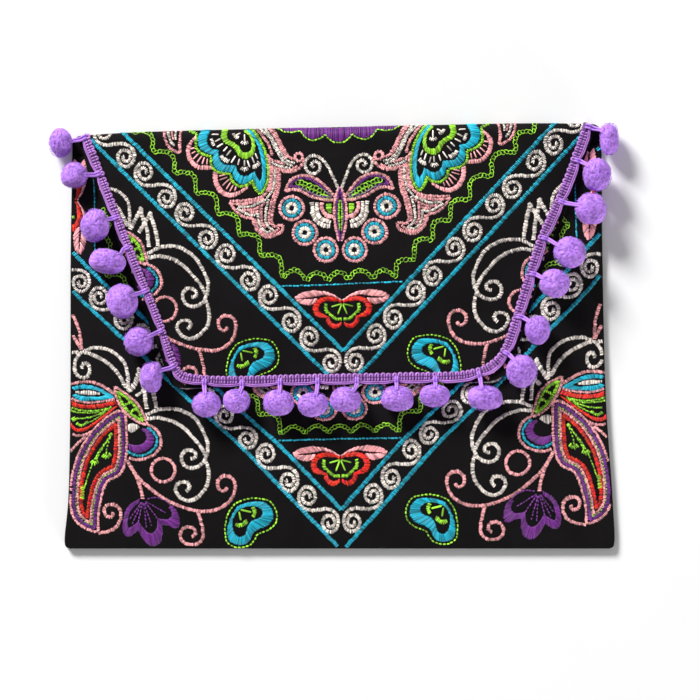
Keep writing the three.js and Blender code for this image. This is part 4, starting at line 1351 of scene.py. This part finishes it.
class CLUTCH_OT_back_and_flap(bpy.types.Operator):
    """Back, fold and flap in one length of cloth: flat, round an ellipse, then over the pouch"""

    bl_idname = "clutch.back_and_flap"
    bl_label = "Back and flap"

    def execute(self, context):
        shape = BagShape(context.scene.clutch_sizes)
        wide, high, drop = 330.0, 253.0, 160.0
        across = rim_places(wide, 2.9)
        shares = across / wide
        up = np.concatenate([RIM_STEPS, np.linspace(RIM_STEPS[-1], high, 50)[1:]])
        down = rim_places(2 * drop, 2.5)
        down = down[down >= drop] - drop
        back = cross_rows(BODY_ROWS, row_places(BODY_ROWS, up), shares)
        flap = cross_rows(FLAP_ROWS, row_places(FLAP_ROWS, np.concatenate([[0.0], down[1:]])), shares)
        side = np.minimum(across, wide - across)[None, :]
        half_back = shape.cloth / 2 * rounded(np.minimum(side, up[:, None]), shape.cloth)
        half_flap = shape.cloth / 2 * rounded(np.minimum(side, (drop - down)[:, None]), shape.cloth)
        x, y = back[..., 0], back[..., 1]
        under = np.full_like(x, shape.cloth / 2)
        outer = [np.stack([x, y, under - half_back], axis=-1)]
        inner = [np.stack([x, y, under + half_back], axis=-1)]
        start, end = back[-1], flap[0]
        turn = np.linspace(-np.pi / 2, np.pi / 2, 19)[1:-1, None]
        share = np.clip(1 + np.sin(turn), 0.0, 1.0)
        x = start[:, 0] + share * (end[:, 0] - start[:, 0])
        axis = start[:, 1] + share * (end[:, 1] - start[:, 1])
        half = shape.flap_top(end[:, 0], end[:, 1]) / 2
        reach = shape.fold_past(end[:, 0])
        round_rim = shape.cloth / 2 * rounded(side, shape.cloth)
        middle = shape.cloth / 2
        for sign, rows in ((1.0, outer), (-1.0, inner)):
            inset = middle - sign * round_rim
            rows.append(np.stack([
                np.broadcast_to(x, (len(turn), len(across))),
                axis + (reach - inset) * np.cos(turn),
                half + (half - inset) * np.sin(turn),
            ], axis=-1))
        x, y = flap[..., 0], flap[..., 1]
        level = shape.flap_top(x, y) - shape.cloth / 2
        outer.append(np.stack([x, y, level + half_flap], axis=-1))
        inner.append(np.stack([x, y, level - half_flap], axis=-1))
        points, quads = wall_mesh(np.concatenate(inner), np.concatenate(outer))
        cloth = make_object("back_and_flap_cloth", points * MM, quads, cloth_finish(context.scene))
        ride_and_finish(cloth, "black_cloth", "back_and_flap")
        return {"FINISHED"}


# A stitch's height over the cloth, half its thickness and the depth of its ends, as shares of its
# width, and how wide the ends are
STITCH_LIFT = 0.22
STITCH_THICK = 0.32
STITCH_SINK = 0.28
STITCH_END = 0.55
# How far round the fold stitches go, and how far inside an outline they stay: the flap's, the front's
# and the flap's where it hides the front
FOLD_WRAP = 8.9
FLAP_MARGIN = 1.2
FRONT_MARGIN = 0.4
HIDDEN_MARGIN = 9.0
# Thread colours that go by another word in the names of pieces
PIECE_WORDS = {"cream": "ivory"}


def panel_stitches(batches, copies, apex, keep, place, draws):
    """Threads of one colour on one panel: each chart copy turned, moved, clipped and put in place."""
    parts, tones = [], []
    for paths, width in batches:
        for copy in copies:
            plan = turned(copy(paths), math.degrees(CHART_TILT)) * CHART_SQUARE + apex
            kept = keep(plan[:, 0]) & keep(plan[:, -1]) & keep(plan.mean(axis=1))
            if not kept.any():
                continue
            plan, wide = plan[kept], width[kept] * CHART_SQUARE
            end = np.zeros(plan.shape[1], bool)
            end[[0, -1]] = True
            lift = wide[:, None] * np.where(end, -STITCH_SINK, STITCH_LIFT)
            lift = lift * draws.uniform(0.85, 1.2, (len(plan), 1))
            narrow = np.where(end, STITCH_END, 1.0)
            path = np.concatenate([plan, lift[..., None]], axis=-1)
            part = tubes(path, wide[:, None] / 2 * narrow, wide[:, None] * STITCH_THICK * narrow, place)
            parts.append(part)
            tones.append(np.repeat(draws.uniform(0.0, 1.0, len(plan)), len(part[0]) // len(plan)))
    return parts, tones


class CLUTCH_OT_embroidery(bpy.types.Operator):
    """Embroidery on the flap and on the front panel below it, one piece for each thread colour"""

    bl_idname = "clutch.embroidery"
    bl_label = "Embroidery"

    def execute(self, context):
        shape = BagShape(context.scene.clutch_sizes)
        colours = context.scene.clutch_colours
        charts = []
        for number, motifs in enumerate(MOTIF_GROUPS):
            chart = Chart(seed=11 + number)
            for motif in motifs:
                motif(chart)
            charts.append(chart)
        mirror, upright = np.array([-1.0, 1.0]), np.array([1.0, -1.0])
        both = [lambda p: p, lambda p: p * mirror]
        drawn = [drawn_up, lambda p: drawn_up(p * mirror)]
        flipped = [lambda p, copy=copy: copy(p) * upright + 2 * DIAMOND_CENTRE for copy in both]
        sideways = [
            lambda p, copy=copy, turn=turn: turned(copy(p) + SIDE_SHIFT, turn, DIAMOND_CENTRE)
            for copy in both for turn in (-90.0, 90.0)
        ]
        on_upper = [lambda p, copy=copy: pulled(copy(p), FLAP_PULLS, upper) for copy in both]
        on_lower, drawn_lower, drawn_lines, on_sides = (
            [lambda p, copy=copy, pulls=pulls: pulled(copy(p), pulls, lower) for copy in copies]
            for copies, pulls in (
                (both, FRONT_PULLS), (drawn, FRONT_PULLS), (drawn, LINE_PULLS), (sideways, SIDE_PULLS)
            )
        )
        flap_copies = (both, on_upper, both[:1], both[:1], [], on_upper, on_upper, both)
        front_copies = (
            drawn_lines + flipped, drawn_lower + flipped, drawn_lines + flipped, [], drawn + sideways,
            drawn, on_lower, drawn + on_sides,
        )
        flap_outline = rows_outline(FLAP_ROWS, FLAP_MARGIN)
        hidden_outline = rows_outline(FLAP_ROWS, HIDDEN_MARGIN)
        front_outline = rows_outline(BODY_ROWS, FRONT_MARGIN)

        def on_flap(plan):
            past = plan[:, 1] - shape.fold_y(plan[:, 0])
            level = np.column_stack([plan[:, 0], plan[:, 1] - np.maximum(past + 0.1, 0.0)])
            return inside(flap_outline, level) & (past < FOLD_WRAP)

        def on_front(plan):
            below = plan[:, 1] < shape.fold_y(plan[:, 0]) - MOUTH_SETBACK - 1.0
            return inside(front_outline, plan) & below & ~inside(hidden_outline, plan)

        panels = (
            ("flap", FLAP_APEX, on_flap, shape.on_flap, flap_copies),
            ("front", FRONT_APEX, on_front, shape.on_front, front_copies),
        )
        for number, colour in enumerate(THREADS):
            finish = strand_material(
                f"thread_{colour}", getattr(colours, colour),
                spread=1.1, fleck=900.0, sheen=0.06, bump_depth=0.05 * MM,
            )
            for panel, apex, keep, place, copies in panels:
                draws = np.random.default_rng(100 + number)
                parts, tones = [], []
                for chart, turns in zip(charts, copies):
                    more, shades = panel_stitches(chart.stitches[colour], turns, apex, keep, place, draws)
                    parts += more
                    tones += shades
                points, quads, caps = join(parts)
                piece = make_object(
                    f"stitches_{panel}_{PIECE_WORDS.get(colour, colour)}", points, quads, finish, caps,
                    {"tone": np.concatenate(tones)},
                )
                ride_and_finish(piece, f"thread_{colour}")
        return {"FINISHED"}


class BraidLine:
    """The braid's middle line on the flap, and points placed along, across and above it."""

    inner = -3.6
    end_space = 2.0

    def __init__(self, shape):
        self.shape = shape
        self.line = smooth_line(BRAID_LINE)
        self.run = run_lengths(self.line)
        self.length = self.run[-1]
        self.outward = -left_of(unit(np.gradient(self.line, axis=0)))

    def place(self, points):
        """Points along, outward and above the braid's seat as points of the bag in metres.

        Where the braid lies narrow, places across it close up towards its inner edge.
        """
        run, out, above = points.T
        out = self.inner + (out - self.inner) * np.interp(run / self.length, *BRAID_SPREAD.T)
        columns = [
            np.interp(run, self.run, self.line[:, k]) + out * np.interp(run, self.run, self.outward[:, k])
            for k in range(2)
        ]
        return self.shape.on_flap(np.column_stack([*columns, above + self.shape.gap]))

    def nearest(self, x, y):
        """Length along the braid of its point nearest to a place."""
        return self.run[np.argmin(np.hypot(self.line[:, 0] - x, self.line[:, 1] - y))]

    def ties(self):
        """Length along the braid at which each pompom's tie leaves it."""
        starts = [self.nearest(x, y) + slip for x, y, *_, slip in POMPOMS]
        return np.clip(starts, self.end_space, self.length - self.end_space)

    def lengths(self, end, step):
        """Lengths along the braid about a step apart, from near one end to as near the other."""
        return np.linspace(end, self.length - end, int(self.length / step))


class CLUTCH_OT_braid(bpy.types.Operator):
    """Braid along the flap's edge: a tape under looped ribs and two bowed cords, the tape dark with
    painted shade
    """

    bl_idname = "clutch.braid"
    bl_label = "Braid"

    # Spacing of the loops, places across the braid, reach of a bow and how far a rib's foot follows it
    loop_pitch = 3.5
    middle = -0.8
    foot = 1.0
    head = -2.05
    bow_reach = 7.0
    foot_follow = 0.55

    def execute(self, context):
        braid = BraidLine(BagShape(context.scene.clutch_sizes))
        draws = np.random.default_rng(21)
        half = context.scene.clutch_sizes.braid_width / MM / 2
        colours = context.scene.clutch_colours
        # Painted shade: the tape and the middle thread take the dark groove colour for the shade in the
        # braid's gaps and groove
        groove = strand_material(
            "braid_gap_shade", colours.groove, spread=0.5, fleck=900.0, sheen=0.1, bump_depth=0.05 * MM
        )
        yarn = strand_material(
            "braid_yarn", colours.braid, spread=0.7, fleck=900.0, sheen=0.15, bump_depth=0.08 * MM,
            hue=0.03,
        )
        points, quads, caps = join([self.tape(braid, half), self.groove(braid)])
        tape = make_object("braid_shade_tape", points, quads, groove, caps, {"tone": np.full(len(points), 0.5)})
        ride_and_finish(tape, "braid_yarn")
        parts = [self.loops(braid, draws), *self.cords(braid)]
        points, quads, caps = join(parts)
        tone = np.concatenate([self.shades(part, draws) for part in parts])
        trim = make_object("braid_trim", points, quads, yarn, caps, {"tone": tone})
        ride_and_finish(trim, "braid_yarn", "pompom_braid")
        return {"FINISHED"}

    def shades(self, part, draws):
        """A tone for each point of a part, the same within short runs of points."""
        chunk = 24
        count = -(-len(part[0]) // chunk)
        return np.repeat(draws.uniform(0.3, 0.95, count), chunk)[: len(part[0])]

    def tape(self, braid, half):
        """Flat tape under the yarn: an ellipse carried along the braid. Its dark colour is painted shade,
        seen in the gaps between the loops.
        """
        run = braid.lengths(0.2, 1.5)
        path = np.column_stack([run, np.full_like(run, -0.6), np.full_like(run, 0.45)])[None]
        return tubes(path, half * 0.76, 0.42, braid.place, sides=8)

    def groove(self, braid):
        """Thin thread along the middle, pulled down between the ribs, coloured dark as painted shade in
        the groove.
        """
        run = braid.lengths(0.6, 0.9)
        path = np.column_stack([run, np.full_like(run, self.middle), np.full_like(run, 1.38)])[None]
        return tubes(path, 0.34, 0.22, braid.place, sides=4)

    def loops(self, braid, draws):
        """Loops across the braid: two ribs joined by a half circle that stands out at the inner edge.

        The loops are a pitch apart, slightly uneven. Each rib rises twice, once on each side of the
        middle line, as half sine waves, and its foot follows part of the cords' bow.
        """
        count = int((braid.length - 2 * braid.end_space) / self.loop_pitch)
        start = np.arange(count) + draws.uniform(-0.1, 0.1, count)
        start = braid.end_space + start * self.loop_pitch
        turn = np.linspace(0.0, np.pi, 5)
        wide, head = self.loop_pitch * 0.25, self.head
        rib = np.linspace(self.foot, head, 7)[:-1]
        bulge = 0.85 + 0.4 * np.abs(np.sin(np.pi * (rib - self.middle) / (self.foot - self.middle)))
        along_loop = np.concatenate([
            np.full_like(rib, -wide), -wide * np.cos(turn), np.full_like(rib, wide)
        ])
        out_loop = np.concatenate([rib, head - wide * np.sin(turn), rib[::-1]])
        high = np.concatenate([bulge, 1.1 - 0.3 * np.sin(turn), bulge[::-1]])
        uneven = draws.uniform(-0.2, 0.2, (len(start), 1)) * (out_loop < head + 1.0)
        follow = np.clip((out_loop - self.middle) / (self.foot - self.middle), 0.0, 1.0)
        out = out_loop + uneven + self.foot_follow * self.bow(braid, start)[:, None] * follow
        loop = np.stack(np.broadcast_arrays(start[:, None] + along_loop, out, high), axis=-1)
        return tubes(loop, 0.68, 0.5, braid.place, sides=4)

    def bow(self, braid, run):
        """How far the outer edge bows out: none at a tie, full a few millimetres away."""
        away = np.min(np.abs(run[:, None] - braid.ties()[None]), axis=1)
        return ease(away / self.bow_reach)

    def cords(self, braid):
        """Two cords along the outer edge, bowed outwards between the ties."""
        run = braid.lengths(0.4, 1.2)
        bow = self.bow(braid, run)
        paths = [
            np.column_stack([run, 1.35 + 0.75 * bow, 1.0 + 0.1 * bow]),
            np.column_stack([run, 2.0 + 1.05 * bow, 0.8 + 0.2 * bow]),
        ]
        return [tubes(path[None], 0.48, 0.5, braid.place, sides=6) for path in paths]


class CLUTCH_OT_pompoms(bpy.types.Operator):
    """Pompoms on their yarn ties: lumpy balls of clipped yarn ends with felted fibres"""

    bl_idname = "clutch.pompoms"
    bl_label = "Pompoms"

    tuft_count = 800
    tuft_depth = 0.028
    lump_height = 0.026
    # Where a tie leaves the braid: outward of its middle line and above its seat, in millimetres
    tie_out = 2.9
    tie_above = 1.8
    # How far up the ball a tie goes, and how wide and deep it presses, for a ball of radius 1
    tie_rise = 0.75
    press_reach = 0.2
    press_depth = 0.09

    def execute(self, context):
        sizes = context.scene.clutch_sizes
        braid = BraidLine(BagShape(sizes))
        finish = strand_material(
            "pompom_wool", context.scene.clutch_colours.pompom,
            spread=0.75, fleck=1100.0, sheen=0.2, bump_depth=0.22 * MM, hue=0.015,
        )
        finish.node_tree.nodes["Principled BSDF"].inputs["Specular IOR Level"].default_value = 0.15
        for number, (row, tie) in enumerate(zip(POMPOMS, braid.ties()), start=1):
            draws = np.random.default_rng(300 + number)
            node = f"pompom_{number:02d}"
            low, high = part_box(node)
            x, y, wide, long, turn, _ = row
            centre = np.array([x, y, (low.z + high.z) / 2 / MM])
            radii = np.array([wide / 2, long / 2, (high.z - low.z) / 2 / MM])
            way = braid.place(np.array([(tie, self.tie_out, 0.0)]))[0] / MM - centre
            seat = self.tie_seat(way, turn)
            ball, tone = self.ball(centre, radii, turn, draws, seat)
            fuzz = self.fuzz(centre, radii, turn, draws, sizes.fibres, sizes.fibre / MM)
            yarn = self.tie(braid, tie, centre, radii, turn, seat, draws)
            points, quads, caps = join([ball, fuzz, yarn])
            fibre_tone = np.repeat(draws.uniform(0.3, 0.85, sizes.fibres), len(fuzz[0]) // sizes.fibres)
            tone = np.concatenate([tone, fibre_tone, np.full(len(yarn[0]), 0.65)])
            piece = make_object(f"{node}_yarn", points, quads, finish, caps, {"tone": tone})
            ride_and_finish(piece, "pompom_wool", node)
        return {"FINISHED"}

    def turned_ball(self, directions, radii, turn):
        """Directions from a ball's centre stretched to its radii and turned flat.

        The longer the ball, the squarer: its power is 2 for a sphere and more for a long ball.
        """
        power = 2 + 1.6 * max(abs(math.log(radii[1] / radii[0])) - 0.1, 0.0)
        size = np.sum(np.abs(directions) ** power, axis=-1, keepdims=True) ** (1 / power)
        length = np.linalg.norm(directions, axis=-1, keepdims=True)
        stretched = directions * (length / size) * radii
        flat = turned(stretched[..., :2], turn)
        return np.concatenate([flat, stretched[..., 2:]], axis=-1)

    def tie_seat(self, way, turn):
        """Directions from the ball's centre along its tie: from the rim beside the braid upwards."""
        flat = unit(turned(way[None, :2], -turn)[0])
        rise = np.linspace(0.15, self.tie_rise, 6)[:, None]
        return np.column_stack([np.cos(rise) * flat, np.sin(rise)])

    def ball(self, centre, radii, turn, draws, seat):
        """Ball in latitude and longitude that swells at each yarn end and sinks between them.

        The tie presses a groove into it, deepest along the seat and gone a few millimetres away. The tone
        is darker in the sinks and in the groove, as painted shade.
        """
        rings, around = 40, 80
        latitude = np.linspace(0.0, np.pi, rings + 2)[1:-1]
        longitude = 2 * np.pi * np.arange(around) / around
        lat, lon = np.meshgrid(latitude, longitude, indexing="ij")
        out = np.stack([np.sin(lat) * np.cos(lon), np.sin(lat) * np.sin(lon), np.cos(lat)], axis=-1)
        out = np.concatenate([out.reshape(-1, 3), [(0.0, 0.0, 1.0), (0.0, 0.0, -1.0)]])
        ends = unit(draws.normal(size=(self.tuft_count, 3)))
        apart = np.arccos(np.clip(out @ ends.T, -1.0, 1.0))
        gap = np.clip(apart.min(axis=1) * math.sqrt(self.tuft_count) / 2, 0.0, 1.4)
        slow = draws.normal(size=(6, 3)) * 2.0
        lumps = np.sin(out @ slow.T + draws.uniform(0, 2 * np.pi, 6)).sum(axis=1) * self.lump_height
        from_seat = np.arccos(np.clip(out @ seat.T, -1.0, 1.0)).min(axis=1)
        pressed = np.exp(-(from_seat / self.press_reach) ** 2)
        swell = 1 + lumps - self.tuft_depth * gap ** 2 - self.press_depth * pressed
        points = centre + self.turned_ball(out * swell[:, None], radii, turn)
        near = np.exp(-(apart * math.sqrt(self.tuft_count) / 1.7) ** 2)
        tone = near @ draws.uniform(0.0, 1.0, self.tuft_count) / near.sum(axis=1)
        # Painted shade: besides its random tone from tuft to tuft, the yarn is darker in the pits between
        # tufts and in the tie's pressed groove
        tone = np.clip(0.75 + 0.8 * (tone - 0.5) - 0.26 * gap ** 2 - 0.3 * pressed, 0.0, 1.0)
        top, bottom = rings * around, rings * around + 1
        quads = grid_faces(rings, around, wrap=True)[:, ::-1]
        here = np.arange(around)
        after = (here + 1) % around
        last = (rings - 1) * around
        caps = np.concatenate([
            np.column_stack([np.full(around, top), here, after]),
            np.column_stack([np.full(around, bottom), last + after, last + here]),
        ])
        return (points * MM, quads, caps), tone

    def fuzz(self, centre, radii, turn, draws, count, length):
        """Felted fibres: thin threads that lie along the ball, one end tucked in and the other free."""
        out = unit(draws.normal(size=(count, 3)))
        aside = unit(np.cross(out, draws.normal(size=(count, 3))))
        reach = length * draws.uniform(0.5, 1.3, (count, 1, 1)) / radii.mean()
        share = np.array([-0.5, 0.0, 0.5])[None, :, None]
        heading = unit(out[:, None] + aside[:, None] * reach * share)
        level = np.array([0.96, 1.0, 1.02])[None, :, None] + draws.uniform(-0.01, 0.02, (count, 1, 1))
        paths = centre + self.turned_ball(heading * level, radii, turn)
        thin = np.array([0.08, 0.12, 0.08])
        return tubes(paths, thin, thin, lambda p: p * MM, sides=3)

    def tie(self, braid, start, centre, radii, turn, seat, draws):
        """Two strands side by side from the braid's groove, over its cords and along the ball's seat."""
        strands = []
        leaves = braid.place(np.array([(start, self.tie_out, self.tie_above)]))[0] / MM
        level = np.linspace(0.99, 0.95, len(seat))[:, None]
        level[-1] = 0.8
        over = centre + self.turned_ball(seat * level, radii, turn)
        for side in (-1.0, 1.0):
            spread = side * draws.uniform(0.6, 0.8)
            first = braid.place(np.array([
                (start + spread, -1.2, 0.7), (start + spread, 0.0, self.tie_above),
                (start + spread, 1.5, 2.0), (start + spread, self.tie_out, self.tie_above),
            ])) / MM
            beside = left_of(over[-1:, :2] - over[:1, :2])[0]
            beside = np.append(unit(beside), 0.0) * spread * 0.8
            beside = beside * np.sign(beside @ (first[-1] - leaves))
            line = np.vstack([first, over[1::2] + beside])
            strands.append(spline(line, np.linspace(0, len(line) - 1, 20)))
        return tubes(np.stack(strands), 0.7, 0.6, lambda p: p * MM, sides=6)


class CLUTCH_OT_stage(bpy.types.Operator):
    """Pale floor, soft lights and the camera straight above the bag"""

    bl_idname = "clutch.stage"
    bl_label = "Stage"

    view_width = 700 * CHART_SQUARE * MM
    view_centre = (6.8 * MM, -8.0 * MM)
    focus_height = 8.0 * MM

    def execute(self, context):
        scene = context.scene
        camera = bpy.data.cameras.new("camera")
        camera.lens = 180.0
        camera.sensor_width = 36.0
        distance = self.view_width * camera.lens / camera.sensor_width
        eye = bpy.data.objects.new("camera", camera)
        eye.location = (*self.view_centre, distance + self.focus_height)
        camera.clip_end = 20.0
        scene.collection.objects.link(eye)
        scene.camera = eye
        self.floor()
        self.light(scene, "key_light", place=(-2.9, 4.25, 2.7), size=(2.0, 1.5), power=550.0)
        self.light(scene, "fill_light", place=(3.0, -4.0, 0.6), size=(2.4, 0.6), power=205.0)
        world = bpy.data.worlds.new("studio")
        world.use_nodes = True
        background = world.node_tree.nodes["Background"]
        background.inputs["Color"].default_value = (1.0, 1.0, 1.0, 1.0)
        background.inputs["Strength"].default_value = 0.25
        scene.world = world
        scene.view_settings.view_transform = "Standard"
        return {"FINISHED"}

    def floor(self):
        """A wide pale sheet just under the bag, with a faint mottle."""
        half, level = 8.0, -0.2 * MM
        corners = half * np.array([(-1.0, -1.0), (1.0, -1.0), (1.0, 1.0), (-1.0, 1.0)])
        points = np.column_stack([corners, np.full(len(corners), level)])
        material, tree, shader = new_material("pale_floor")
        coords = tree.nodes.new("ShaderNodeTexCoord")
        noise = tree.nodes.new("ShaderNodeTexNoise")
        noise.inputs["Scale"].default_value = 30.0
        tree.links.new(coords.outputs["Object"], noise.inputs["Vector"])
        mottle = colour_between(tree, noise.outputs["Fac"], [0.96] * 3, [0.98] * 3)
        tree.links.new(mottle, shader.inputs["Base Color"])
        shader.inputs["Roughness"].default_value = 0.9
        make_object("floor", points, np.arange(len(points))[None], material)

    def light(self, scene, name, place, size, power):
        """An area light that faces the bag, its size across and its height."""
        lamp = bpy.data.lights.new(name, "AREA")
        lamp.shape = "RECTANGLE"
        lamp.size, lamp.size_y = size
        lamp.energy = power
        item = bpy.data.objects.new(name, lamp)
        item.location = place
        tilt = math.atan2(math.hypot(place[0], place[1]), place[2])
        item.rotation_euler = (tilt, 0.0, math.atan2(place[1], place[0]) + math.pi / 2)
        scene.collection.objects.link(item)


class CLUTCH_PT_panel(bpy.types.Panel):
    """Sizes, colours and pieces of the clutch bag"""

    bl_label = "Clutch bag"
    bl_idname = "CLUTCH_PT_panel"
    bl_space_type = "VIEW_3D"
    bl_region_type = "UI"
    bl_category = "Clutch"

    def draw(self, context):
        layout = self.layout
        for group in (context.scene.clutch_sizes, context.scene.clutch_colours):
            box = layout.box()
            for key in group.__annotations__:
                box.prop(group, key)
        for operator in OPERATORS:
            layout.operator(operator.bl_idname)


OPERATORS = (
    CLUTCH_OT_stage, CLUTCH_OT_front_panel, CLUTCH_OT_back_and_flap, CLUTCH_OT_embroidery,
    CLUTCH_OT_braid, CLUTCH_OT_pompoms,
)
CLASSES = (ClutchSizes, ClutchColours, *OPERATORS, CLUTCH_PT_panel)


def register():
    for item in CLASSES:
        bpy.utils.register_class(item)
    bpy.types.Scene.clutch_sizes = PointerProperty(type=ClutchSizes)
    bpy.types.Scene.clutch_colours = PointerProperty(type=ClutchColours)


def unregister():
    del bpy.types.Scene.clutch_colours
    del bpy.types.Scene.clutch_sizes
    for item in reversed(CLASSES):
        bpy.utils.unregister_class(item)


def main():
    """Make every piece in order."""
    register()
    bpy.ops.clutch.stage()
    bpy.ops.clutch.front_panel()
    bpy.ops.clutch.back_and_flap()
    bpy.ops.clutch.embroidery()
    bpy.ops.clutch.braid()
    bpy.ops.clutch.pompoms()


if __name__ == "__main__":
    main()
